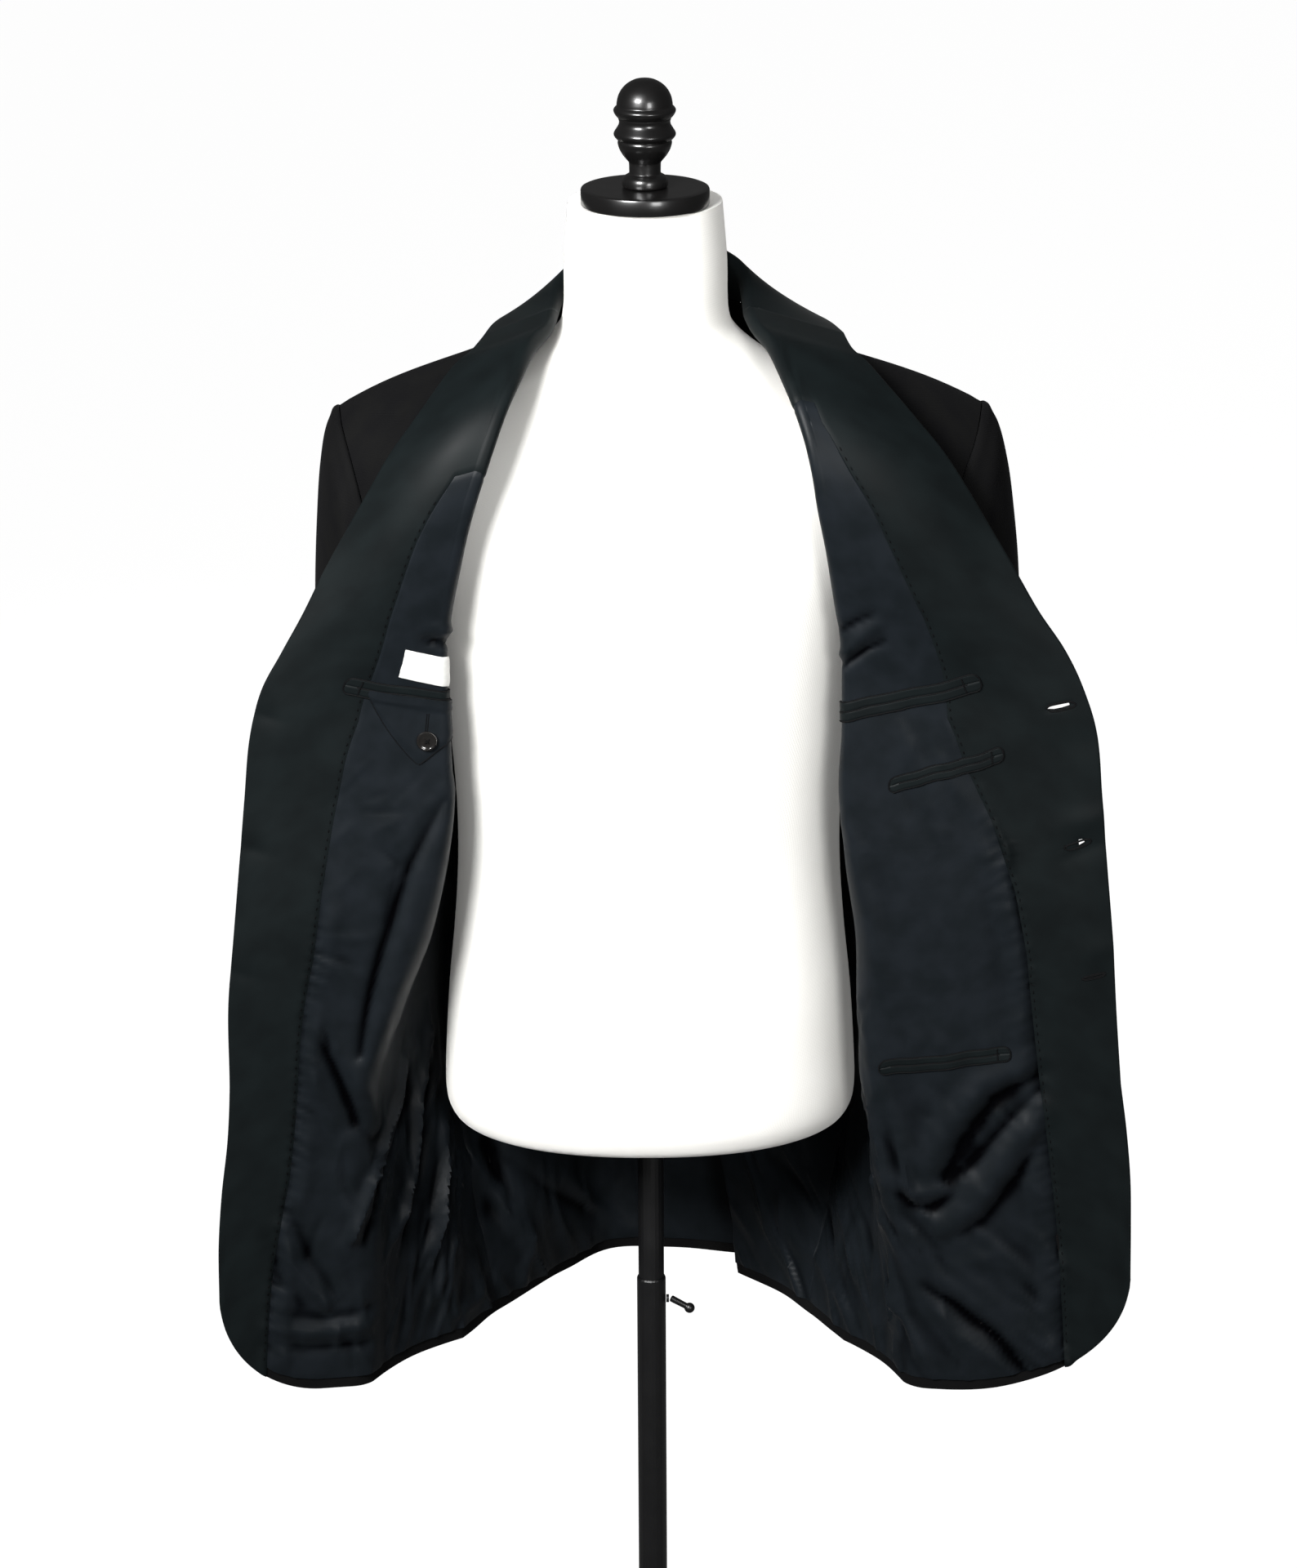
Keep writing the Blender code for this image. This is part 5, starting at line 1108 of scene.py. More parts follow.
def lay_folds(side):
    """Return the wool's and the inner cloths' lift over the grid, towards the lining."""
    place = np.stack([PLACES[side], GRIDS[side][:, :, 2]], axis=-1)
    inner = unevenness(place, 1.3, SLOW_WAVES) + unevenness(place, 0.35, FAST_WAVES)
    wool = inner.copy()
    for line, half_width, first, last in FOLDS[side]:
        lift = rise_along(place, line, half_width, first, last)
        inner += lift
        wool += lift * (WOOL_FOLLOWS if first > 0 else 1.0)
    slack = inner * 0
    for line, half_width, first, last in puckers(side) + crumples(side):
        slack += rise_along(place, line, half_width, first, last)
    past_seam = np.arange(CENTRE + 1) - SATIN_SEAM
    on_lining = np.clip(fade(past_seam, 1, 9) + (past_seam > 0), 0.0, 1)[None, :]
    slack = np.maximum(slack, np.where(slack < 0, -SUNK_LEAST, 0) + 0.35 * slack) * on_lining
    from_seam = PLACES[side] - PLACES[side][:, SATIN_SEAM:SATIN_SEAM + 1]
    height = GRIDS[side][:, :, 2]
    hangs = np.clip((SLACK_FROM[side] - height) / FADES_OVER, 0, 1)
    billow = 1.6 + 0.8 * np.sin(height * 61 + 1) + 0.5 * np.sin(height * 143)
    slack += hangs * billow / 1000 * np.exp(-(((from_seam - SLACK_WELT[0]) / SLACK_WELT[1]) ** 2))
    slack -= hangs * SEAM_GROOVE[0] * np.exp(-((from_seam / SEAM_GROOVE[1]) ** 2))
    free = np.clip((PRESSED_ABOVE - height) / FADES_OVER, 0, 1)
    return wool * free, (inner + slack) * free


LIFTS = {side: lay_folds(side) for side in GRIDS}
WOOL_LAID = {side: GRIDS[side] - WAYS[side] * LIFTS[side][0][..., None] for side in GRIDS}
INNER_LAID = {side: GRIDS[side] - WAYS[side] * LIFTS[side][1][..., None] for side in GRIDS}
SPREAD_ROUNDS = 40
CREASE_DEPTH, CREASE_FROM = 0.0024, 0.15


def sunk(lift):
    """Return how far each point lies below its surroundings, from 0 to 1 for a deep crease, as the amount of painted
    shade the lining gets there.
    """
    around = lift
    for _ in range(SPREAD_ROUNDS):
        padded = np.pad(around, 1, mode="edge")
        around = (padded[:-2, 1:-1] + padded[2:, 1:-1] + padded[1:-1, :-2] + padded[1:-1, 2:]) / 4
    return np.clip((around - lift) / CREASE_DEPTH - CREASE_FROM, 0, 1)


# Painted shade in the lining's creases, from 0 to 1.
CREASE_SHADE = {side: sunk(LIFTS[side][1]) for side in GRIDS}
for side in GRIDS:
    print(side, "share of the lining in a crease:", round(float(CREASE_SHADE[side].mean()), 3))
    lowest, highest = (round(float(end * 1000), 1) for end in (LIFTS[side][1].min(), LIFTS[side][1].max()))
    print(side, "largest lift in mm:", highest, "deepest:", lowest)

# %% [markdown]
# ## From grid to cloth
# A piece of cloth is a thin closed wall over some cells of the grid, between two offsets of its
# points. The outer skin dips at the piece's border, so that a seam shows as a pressed groove and a
# free edge is rolled. A Solidify modifier would do the same wall, but it doesn't know which borders
# are seams. Each piece keeps its flat place as the map "cut" for the weave.

# %% Cloth walls
WOOL = (0.0003, 0.0019)
SATIN = (-0.0005, -0.0017)
LINING = (-0.0005, -0.0015)
SEAM_GAP = 0.0
PRESSED = 0.55


def drawn_in(points, cells, gap):
    """Draw the border of the chosen cells in by the seam gap."""
    ways = []
    for axis in (0, 1):
        way = np.gradient(points, axis=axis)
        ways.append(way / np.maximum(np.linalg.norm(way, axis=2, keepdims=True), 1e-9))
    padded = np.pad(cells.astype(int), 1)
    lower = np.sign(padded[1:, :-1] + padded[1:, 1:] - padded[:-1, :-1] - padded[:-1, 1:])
    further = np.sign(padded[:-1, 1:] + padded[1:, 1:] - padded[:-1, :-1] - padded[1:, :-1])
    return points + (ways[0] * lower[..., None] + ways[1] * further[..., None]) * gap


def skin_faces(cells, count):
    """Return the wall's faces over the chosen cells: near skin, far skin and the borders."""
    columns = cells.shape[1] + 1
    i, j = np.nonzero(cells)
    a = i * columns + j
    ring = np.stack([a, a + 1, a + columns + 1, a + columns], axis=1)
    padded = np.pad(cells, 1)
    beside = (padded[:-2, 1:-1], padded[1:-1, 2:], padded[2:, 1:-1], padded[1:-1, :-2])
    faces = [ring, ring[:, ::-1] + count]
    for k, filled in enumerate(beside):
        free = ~filled[i, j]
        first, second = ring[free, k], ring[free, (k + 1) % 4]
        faces.append(np.stack([second, first, first + count, second + count], axis=1))
    return np.vstack(faces)


def finish_piece(made, finish, body, nodes):
    """Give a piece its material, and tell the frame what it rides on and stands for."""
    made.data.materials.append(FINISHES[finish])
    bpy.context.scene.collection.objects.link(made)
    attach(made, body)
    if nodes:
        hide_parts(*nodes)
    return made


def mesh_object(name, points, faces, flat=None, sharp=50.0):
    """Make an object from points and faces, shaded smooth, with its flat place as a map."""
    mesh = bpy.data.meshes.new(name)
    rings = faces if isinstance(faces, list) else faces.tolist()
    mesh.from_pydata(np.asarray(points).tolist(), [], rings)
    if flat is not None:
        corner = np.zeros(len(mesh.loops), dtype=int)
        mesh.loops.foreach_get("vertex_index", corner)
        layer = mesh.uv_layers.new(name="cut")
        layer.uv.foreach_set("vector", flat[corner].astype(np.float32).ravel())
    mesh.shade_smooth()
    mesh.set_sharp_from_angle(angle=math.radians(sharp))
    return bpy.data.objects.new(name, mesh)


def cloth_wall(name, points, ways, cells, layer, finish, flat, flip, gap=SEAM_GAP, creases=None):
    """Make a cloth wall over the chosen cells of a grid."""
    points = drawn_in(points, cells, gap)
    padded = np.pad(cells.astype(int), 1)
    around = padded[:-1, :-1] + padded[:-1, 1:] + padded[1:, :-1] + padded[1:, 1:]
    at_border = layer[0] + (layer[1] - layer[0]) * PRESSED
    depth = np.where(around < 4, at_border, layer[1])[..., None]
    near = (points + ways * layer[0]).reshape(-1, 3)
    far = (points + ways * depth).reshape(-1, 3)
    count = len(near)
    faces = skin_faces(cells, count)
    if flip:
        faces = faces[:, ::-1]
    used, faces = np.unique(faces, return_inverse=True)
    faces = faces.reshape(-1, 4)
    flat = np.vstack([flat.reshape(-1, 2)] * 2)
    made = mesh_object(name, np.vstack([near, far])[used], faces, flat[used])
    # The lining keeps its crease depths, which its material turns into painted shade.
    if creases is not None:
        depths = made.data.attributes.new("crease", "FLOAT", "POINT")
        depths.data.foreach_set("value", np.tile(creases.ravel(), 2)[used].astype(np.float32))
    return finish_piece(made, finish, "dressed_form", [name.replace("_cloth", "")])


def flat_area(grid, cells):
    """Return the area of the chosen cells, as cut, before any fold is laid."""
    down, across = np.diff(grid, axis=0)[:, :-1], np.diff(grid, axis=1)[:-1]
    return float((np.linalg.norm(np.cross(down, across), axis=2) * cells).sum())


def declare_sheet(made, grid, cells):
    """Say how the piece was cut: its flat width, length and area, from the grid without folds."""
    i, j = np.nonzero(cells)
    across = np.linalg.norm(np.diff(grid, axis=1), axis=2)[:-1] * cells
    down = np.linalg.norm(np.diff(grid, axis=0), axis=2)[:, :-1] * cells
    width, length = float(across.sum(axis=1).max()), float(down.sum(axis=0).max())
    area = flat_area(grid, cells)
    length = max(length, area / width * 1.001)
    print(f"{made.name}: cut {width:.3f} x {length:.3f} m, {area:.4f} m2")


def span(grid, rows, columns):
    """Choose a block of a grid's cells."""
    cells = np.zeros((grid.shape[0] - 1, grid.shape[1] - 1), dtype=bool)
    cells[rows[0]:rows[1], columns[0]:columns[1]] = True
    return cells


def flat_map(grid):
    """Return each point's distance along its row and down its column, in metres."""
    down = np.linalg.norm(np.diff(grid, axis=0), axis=2)
    fallen = np.concatenate([np.zeros((1, grid.shape[1])), np.cumsum(down, axis=0)])
    return np.stack([distances(grid), -fallen], axis=-1)


FLATS = {side: flat_map(GRIDS[side]) for side in GRIDS}


def half_piece(name, side, laid, blocks, layer, finish, step, slits=()):
    """Make one cloth piece of a half jacket from blocks of rows and columns, and print how it was cut."""
    flip = (layer[1] > layer[0]) == (side == "left")
    grid = GRIDS[side][::step, ::step]
    cells = np.zeros((grid.shape[0] - 1, grid.shape[1] - 1), dtype=bool)
    for (top, bottom), (first, last) in blocks:
        cells[top // step:bottom // step, first // step:last // step] = True
    for top, bottom, first, last in slits:
        cells[top // step:bottom // step, first // step:last // step] = False
    made = cloth_wall(
        f"{name}_{side}_cloth",
        mirrored(side, laid[side][::step, ::step]), mirrored(side, WAYS[side][::step, ::step]),
        cells, layer, finish, FLATS[side][::step, ::step], flip,
        creases=CREASE_SHADE[side][::step, ::step] if layer == LINING else None,
    )
    declare_sheet(made, grid, cells)


# %% [markdown]
# ## Wool fronts, side panels and backs
# The outer jacket is six pieces: the fronts with their turned lapels, a narrow side panel under
# each arm, and the two backs that meet at the centre seam.

# %% Wool body
LAST = len(BODY_ROWS) - 1
OUTER = {
    "front": ((0, LAST), (0, SEAM)),
    "side": ((FOOT_INDEX, LAST), (SEAM, SIDE_SEAM)),
    "back": ((0, LAST), (SIDE_SEAM, CENTRE)),
}
for side in GRIDS:
    for piece, block in OUTER.items():
        slits = SLIT_CELLS if (piece, side) == ("front", "right") else ()
        half_piece(piece, side, WOOL_LAID, [block], WOOL, "wool", 2, slits)

# %% [markdown]
# ## Under collar and shawl facing
# The under collar is wool, in one piece round the neck. Each satin facing starts at the centre
# back, falls over the collar, runs down the front edge and ends at the round lower corner. Near the
# top it reaches the fold; from the chest down it is a band with a curved inner seam.

# %% Collar and facings
halves = {side: SHAWLS[side][:COLLAR_COUNT] for side in SHAWLS}
ways = {side: SHAWL_WAYS[side][:COLLAR_COUNT] for side in SHAWLS}
round_neck = np.vstack([mirrored("left", halves["left"])[::-1], mirrored("right", halves["right"])[1:]])
round_ways = np.vstack([mirrored("left", ways["left"])[::-1], mirrored("right", ways["right"])[1:]])
whole = np.ones((len(round_neck) - 1, round_neck.shape[1] - 1), dtype=bool)
under = cloth_wall(
    "under_collar_cloth", round_neck, round_ways, whole, WOOL, "wool", flat_map(round_neck), False,
)
declare_sheet(under, round_neck, whole)

for side, strip in SHAWLS.items():
    top = COLLAR_COUNT + BODY_ROWS.index(FACING_TO_FOLD[side])
    cells = span(strip, (0, top), (0, TURNED)) | span(strip, (top, len(strip) - 1), (0, SATIN_SEAM))
    for slit_top, slit_bottom, first, last in SLIT_CELLS if side == "right" else ():
        cells[COLLAR_COUNT + slit_top:COLLAR_COUNT + slit_bottom, first:last] = False
    laid, out = strip.copy(), SHAWL_WAYS[side].copy()
    laid[COLLAR_COUNT:] = INNER_LAID[side][:, :TURNED + 1]
    out[COLLAR_COUNT:] = WAYS[side][:, :TURNED + 1]
    made = cloth_wall(
        f"facing_{side}_cloth", mirrored(side, laid), mirrored(side, out), cells, SATIN, "satin",
        flat_map(strip), side != "left",
    )
    declare_sheet(made, strip, cells)

# %% [markdown]
# ## Lining
# The lining shows on the turned-back fronts and inside the skirt. It stops about a centimetre
# above the hem, where the wool is turned up.

# %% Lining panels
LINING_END = LAST - 4
BELOW_ARM = (FOOT_INDEX, LINING_END)
for side in GRIDS:
    turned_back = (BODY_ROWS.index(FACING_TO_FOLD[side]), LINING_END)
    for piece, blocks in (
        ("front", [(turned_back, (SATIN_SEAM, TURNED)), (BELOW_ARM, (TURNED, SEAM))]),
        ("side", [(BELOW_ARM, (SEAM, SIDE_SEAM))]),
        ("back", [(BELOW_ARM, (SIDE_SEAM, CENTRE))]),
    ):
        half_piece(f"{piece}_lining", side, INNER_LAID, blocks, LINING, "lining", 1)

# %% [markdown]
# ## Sleeves
# A tailored sleeve is two pieces, a wide upper and a narrow under sleeve. Rings from the armhole to
# the cuff are joined into a tube that leans forward, and soft creases cross it at the elbow.

# %% Sleeve rings
SLEEVE_COLUMNS = ("middle", "outer", "inner", "y", "depth", "outer_z", "inner_z")
SLEEVE_ROWS = (
    (0.011, 0.2345, 0.1885, 0.002, 0.0640, 1.2690, 1.1220),
    (0.012, 0.2400, 0.1860, 0.003, 0.0685, 1.2450, 1.1080),
    (0.013, 0.2440, 0.1850, 0.004, 0.0705, 1.2130, 1.0900),
    (0.014, 0.2485, 0.1865, 0.007, 0.0720, 1.1600, 1.0600),
    (0.014, 0.2505, 0.1875, 0.010, 0.0705, 1.0850, 1.0200),
    (0.012, 0.2500, 0.1905, 0.017, 0.0665, 0.9900, 0.9600),
    (0.011, 0.2495, 0.1930, 0.024, 0.0630, 0.8800, 0.8700),
    (0.010, 0.2490, 0.1955, 0.032, 0.0595, 0.7600, 0.7600),
    (0.010, 0.2490, 0.1990, 0.040, 0.0550, 0.6500, 0.6500),
)
SLEEVE_STAND_OFF = 0.0008
SLEEVE_SEAM_GAP = 0.0005
UPPER_SLEEVE_ARC = (-96.0, 114.0)
UPPER_SEGMENTS = 45
UNDER_SEGMENTS = 30
SLEEVE_STEPS = np.arange(0, 9.01, 0.1)
# (line of (angle in degrees, row), half width in rows, rise outwards at its start and end in mm)
SLEEVE_FOLDS = (
    (((-80, 0.40), (0, 0.36), (80, 0.40)), 0.26, 1.6, 1.6),
    (((150, 4.6), (100, 5.0), (60, 5.5)), 0.22, -2.5, -1.0),
    (((160, 5.2), (110, 5.6), (70, 5.9)), 0.20, 2.0, 1.0),
    (((170, 5.7), (125, 6.1), (85, 6.3)), 0.20, -2.2, -0.8),
    (((-150, 4.9), (-110, 5.3), (-70, 5.7)), 0.24, -2.0, -1.0),
    (((-140, 5.5), (-100, 5.9), (-60, 6.1)), 0.22, 1.8, 0.8),
    (((120, 2.0), (95, 3.0), (80, 4.2)), 0.30, -1.8, -0.6),
    (((-120, 1.6), (-100, 2.6), (-92, 3.8)), 0.30, -1.8, -0.6),
)


def armhole(side, shares):
    """Return points round the armhole, from the shoulder down the front and up the back."""
    lifted = WOOL_LAID[side] + WAYS[side] * SLEEVE_STAND_OFF
    front = [lifted[i, SEAM] for i in range(FOOT_INDEX + 1)]
    foot = [lifted[FOOT_INDEX, j] for j in range(SEAM + 1, SIDE_SEAM + 1)]
    back = [lifted[i, SIDE_SEAM] for i in range(FOOT_INDEX - 1, 0, -1)]
    ring = np.array(front + foot + back + front[:1])
    lengths = np.concatenate([[0], np.cumsum(np.linalg.norm(np.diff(ring, axis=0), axis=1))])
    at = np.asarray(shares) % 1.0 * lengths[-1]
    return np.array([np.interp(at, lengths, ring[:, k]) for k in range(3)]).T


def sleeve_ring(side, row, angles):
    """Return one section of a sleeve at the given angles, from its outer side round the front."""
    read = dict(zip(SLEEVE_COLUMNS, SLEEVE_ROWS[row]))
    shift = shifted(side, read["middle"])
    outer = read["outer"] + shift
    inner = read["inner"] + shift
    x = (outer + inner) / 2 + (outer - inner) / 2 * np.cos(angles)
    y = read["y"] - read["depth"] * np.sin(angles)
    outer_z, inner_z = read["outer_z"], read["inner_z"]
    z = (outer_z + inner_z) / 2 + (outer_z - inner_z) / 2 * np.cos(angles)
    return np.array([x, y, z]).T


def sleeve_grid(side, angles, steps):
    """Return a sleeve's points from the armhole to the cuff."""
    rings = [armhole(side, angles / (2 * math.pi))]
    rings += [sleeve_ring(side, row, angles) for row in range(len(SLEEVE_ROWS))]
    rings = np.array(rings)
    low = np.minimum(steps.astype(int), len(rings) - 2)
    t = (steps - low)[:, None, None]
    before, beyond = rings[np.maximum(low - 1, 0)], rings[np.minimum(low + 2, len(rings) - 1)]
    return through(before, rings[low], rings[low + 1], beyond, t)


DEGREES_A_ROW = 60  # degrees round the sleeve that are as long as one row


def sleeve_lift(angles, steps):
    """Return the sleeve's creases as a lift outwards, over its rings and steps."""
    degrees = (np.degrees(angles) + 180) % 360 - 180
    place = np.stack(np.meshgrid(degrees / DEGREES_A_ROW, steps, indexing="xy"), axis=-1)
    lift = np.zeros(place.shape[:2])
    for line, half_width, first, last in SLEEVE_FOLDS:
        scaled = np.array([(a / DEGREES_A_ROW, row) for a, row in line]) * 1000
        lift += rise_along(place, scaled, half_width * 1000, first, last)
    swell = unevenness(place * 0.06, 0.9, SLOW_WAVES)
    return lift + swell * np.clip(steps - 0.6, 0, 1)[:, None]


first, last = UPPER_SLEEVE_ARC
upper = np.linspace(first, last, UPPER_SEGMENTS + 1)
lower = np.linspace(last, first + 360.0, UNDER_SEGMENTS + 1)
angles = np.radians(np.concatenate([[lower[-2] - 360.0], upper, lower[1:], [upper[1] + 360.0]]))
SLEEVE_PARTS = {
    "upper_sleeve": (1, UPPER_SEGMENTS + 1),
    "under_sleeve": (UPPER_SEGMENTS + 1, UPPER_SEGMENTS + UNDER_SEGMENTS + 1),
}
for side in GRIDS:
    tube = sleeve_grid(side, angles, SLEEVE_STEPS)
    out = -normals(tube)
    laid = tube + out * sleeve_lift(angles, SLEEVE_STEPS)[..., None]
    for piece, columns in SLEEVE_PARTS.items():
        cells = span(tube, (0, len(tube) - 1), columns)
        made = cloth_wall(
            f"{piece}_{side}_cloth", mirrored(side, laid), mirrored(side, out), cells, WOOL, "wool",
            flat_map(tube), side == "right", gap=SLEEVE_SEAM_GAP,
        )
        declare_sheet(made, tube, cells)

# %% [markdown]
# ## Finding a place on the cloth
# Pockets, label, buttons and stitches lie on folded cloth. This finds the point and the direction
# of the laid cloth at a distance from the front edge and a height.

# %% Places on the cloth


def cloth_place(side, laid, distance, z):
    """Return the laid cloth's point and outward direction at a flat place."""
    heights = GRIDS[side][:, :, 2]
    row = FOOT_INDEX
    for _ in range(3):
        at = float(np.interp(distance, PLACES[side][row], np.arange(CENTRE + 1)))
        low = min(int(at), CENTRE - 1)
        row = int(np.argmin(abs(heights[:, low] - z)))
    t = at - low
    lane = heights[:, low] * (1 - t) + heights[:, low + 1] * t
    level = float(np.interp(-z, -lane, np.arange(len(lane))))
    high = min(int(level), len(lane) - 2)
    s = level - high

    def blend(grid):
        upper_pair = grid[high, low] * (1 - t) + grid[high, low + 1] * t
        lower_pair = grid[high + 1, low] * (1 - t) + grid[high + 1, low + 1] * t
        return upper_pair * (1 - s) + lower_pair * s

    return blend(laid[side]), unit(blend(WAYS[side]))


def sewn_patch(name, node, side, places, near, far, finish):
    """Make a thin piece on the lining from rows of flat places, with its own depth at each."""
    found = [[cloth_place(side, INNER_LAID, d, z) for d, z in row] for row in places]
    points = np.array([[place[0] for place in row] for row in found])
    out = np.array([[place[1] for place in row] for row in found])
    flat = np.array(places, dtype=float)
    near, far = (np.broadcast_to(depth, flat.shape[:2]) for depth in (near, far))
    low = mirrored(side, points + out * near[..., None]).reshape(-1, 3)
    high = mirrored(side, points + out * far[..., None]).reshape(-1, 3)
    faces = skin_faces(np.ones((flat.shape[0] - 1, flat.shape[1] - 1), dtype=bool), len(low))
    if side == "right":
        faces = faces[:, ::-1]
    made = mesh_object(name, np.vstack([low, high]), faces, np.vstack([flat.reshape(-1, 2)] * 2))
    return finish_piece(made, finish, "dressed_form", [node])


# %% [markdown]
# ## Pockets
# Each inner pocket is a jetted slit: two narrow welts of satin lie lip to lip, with a dark line
# between them and a small bar of stitches near the end by the front edge. A jet is a folded strip,
# so each lip is rounded. The welts are one patch whose depth makes both lips and the slit. The dark
# line is a black thread laid along the slit: painted shade. The black thread round the welts is
# their edge stitching, and it also stands for the shade at their border.

# %% Pocket welts
POCKETS = {
    "inner_pocket_left": ("left", 0.056, 1.1085, 0.196, 1.0823, 0.012),
    "inner_pocket_right": ("right", 0.0695, 1.1080, 0.212, 1.0750, 0.013),
    "pen_pocket_right": ("right", 0.068, 1.0535, 0.150, 1.0303, 0.011),
    "lower_pocket_right": ("right", 0.078, 0.8260, 0.172, 0.8130, 0.011),
}
LIP_DEPTH = 0.0006
SEWN_ON = 0.0021
WELT_BASE = 0.0003
TACK_AT, TACK_LEVELS = 10, range(2, 19)
SLIT_LEVEL = 10
EDGE_THREAD, TACK_THREAD, SLIT_SHADE_THREAD = 0.0007, 0.0011, 0.0008  # depths over the lining's place


def tube_mesh(lanes, radius, sides):
    """Return points and faces of round closed tubes, one along each lane of points."""
    points, faces = [], []
    for lane in lanes:
        lane = np.asarray(lane, dtype=float)
        ways = np.gradient(lane, axis=0)
        ways /= np.maximum(np.linalg.norm(ways, axis=1, keepdims=True), 1e-12)
        helper = np.array([0.13, -0.97, 0.21])
        start = len(points)
        for place, way in zip(lane, ways):
            one = unit(np.cross(way, helper))
            two = np.cross(way, one)
            for k in range(sides):
                a = 2 * math.pi * k / sides
                points.append(place + (one * math.cos(a) + two * math.sin(a)) * radius)
        count = len(lane)
        for i in range(count - 1):
            for k in range(sides):
                a, b = start + i * sides + k, start + i * sides + (k + 1) % sides
                faces.append((a, b, b + sides, a + sides))
        faces.append(tuple(start + k for k in reversed(range(sides))))
        faces.append(tuple(start + (count - 1) * sides + k for k in range(sides)))
    return points, faces


def thread_piece(name, lanes, radius, sides=6):
    """Make one piece of thread of a radius along lanes of points."""
    points, faces = tube_mesh(lanes, radius, sides)
    return finish_piece(mesh_object(name, points, faces), "thread", "dressed_form", None)


def thread_lines(name, side, lanes, radius):
    """Lay black sewing lines through lanes of (distance, height, depth)."""
    laid = []
    for lane in lanes:
        spots = [(cloth_place(side, INNER_LAID, d, z), depth) for d, z, depth in lane]
        laid.append([mirrored(side, point - out * depth) for (point, out), depth in spots])
    thread_piece(name, laid, radius)


for name, (side, d0, z0, d1, z1, width) in POCKETS.items():
    length = math.hypot(d1 - d0, z1 - z0)
    end = 0.42 * width / length
    rounding = end * (1 - np.cos(np.linspace(0.3, math.pi / 2, 8)))
    steps = np.concatenate([rounding, np.linspace(end, 1 - end, 54)[1:-1], (1 - rounding)[::-1]])
    levels = np.linspace(0.5, -0.5, 2 * SLIT_LEVEL + 1)
    round_off = np.sqrt(np.clip(1 - (1 - np.minimum(steps, 1 - steps) / end).clip(0) ** 2, 0.05, 1))
    wander = 0.0005 * np.sin(steps * 9 + d0 * 400) + 0.0003 * np.sin(steps * 23)
    lane = list(zip(steps, round_off, wander))
    places = [
        [(d0 + (d1 - d0) * t, z0 + (z1 - z0) * t + level * width * r + w) for t, r, w in lane]
        for level in levels
    ]
    lips = np.clip(2.4 * np.abs(np.sin(2 * np.pi * levels)), 0.08, 1)
    far = -(SEWN_ON + WELT_BASE + LIP_DEPTH * lips[:, None] * np.clip(round_off, 0.5, 1)[None, :])
    made = sewn_patch(f"{name}_welts", name, side, places, -SEWN_ON, far, "satin")
    flat = (round(length, 3), round(width, 3))
    top, slit, bottom = places[0], places[SLIT_LEVEL], places[-1]
    # Edge stitching round the welts, which also darkens their border as painted shade.
    outline = [(*spot, SEWN_ON + EDGE_THREAD) for spot in top + bottom[::-1] + top[:1]]
    tack = [(*places[k][TACK_AT], SEWN_ON + TACK_THREAD) for k in TACK_LEVELS]
    # Painted shade: a black thread laid in the slit stands for the shade between the lips.
    middle = [(*spot, SEWN_ON + SLIT_SHADE_THREAD) for spot in slit[9:-9]]
    thread_lines(f"{name}_sewing", side, [outline, tack, middle], 0.00055)
    print(f"{name}: {length * 1000:.0f} mm long, {width * 1000:.0f} mm over both lips")

# %% [markdown]
# The left inner pocket closes with a pointed tab of lining, folded double, that comes out of the
# slit over the lower lip. It has a worked buttonhole along its middle, and a button at its point.

# %% Pocket tab
TAB_MIDDLE, TAB_HALF, TAB_TIP = 0.1220, 0.0465, (0.1210, 1.0494)
side, d0, z0, d1, z1, width = POCKETS["inner_pocket_left"]
levels, turns = np.linspace(0, 1, 27), np.linspace(-1, 1, 45)
rows, depths = [], []
for level in levels:
    row, depth = [], []
    for t in turns:
        d = TAB_MIDDLE + TAB_HALF * t
        slit = z0 + (z1 - z0) * (d - d0) / (d1 - d0) - 0.0005
        reach = 1.04 - math.sqrt(t * t + 0.0016)
        drop = level * (0.0012 + (slit - TAB_TIP[1]) * max(reach, 0))
        row.append((d + level * reach * (TAB_TIP[0] - TAB_MIDDLE), slit - drop))
        depth.append(0.0023 + 0.0009 * float(fade(drop, 0.0058, 0.0085)))
    rows.append(row)
    depths.append(depth)
depths = np.array(depths)
edge = np.minimum(levels[::-1, None] * 6, 1) * np.clip((1 - abs(turns)) * 10, 0.2, 1)[None, :]
outer = depths + 0.0003 + 0.0007 * edge
made = sewn_patch("pocket_tab_cloth", "pocket_tab", "left", rows, -depths, -outer, "lining")
hole = [(0.1217, 1.0853), (0.1224, 1.0790), (0.1233, 1.0700)]
lanes = [[(d + aside, z, 0.0033) for d, z in hole] for aside in (-0.0007, 0.0007)]
thread_lines("tab_buttonhole", "left", lanes, 0.0004)
down = [rows[k][0] for k in range(0, 27, 2)]
up = [rows[k][-1] for k in range(26, -1, -2)]
border = [(*spot, 0.0026) for spot in down + rows[-1][1:-1] + up]
thread_lines("tab_edge", "left", [border], 0.00035)

# %% [markdown]
# The label is a woven ribbon that lies slanting above the pocket. It stays bare.

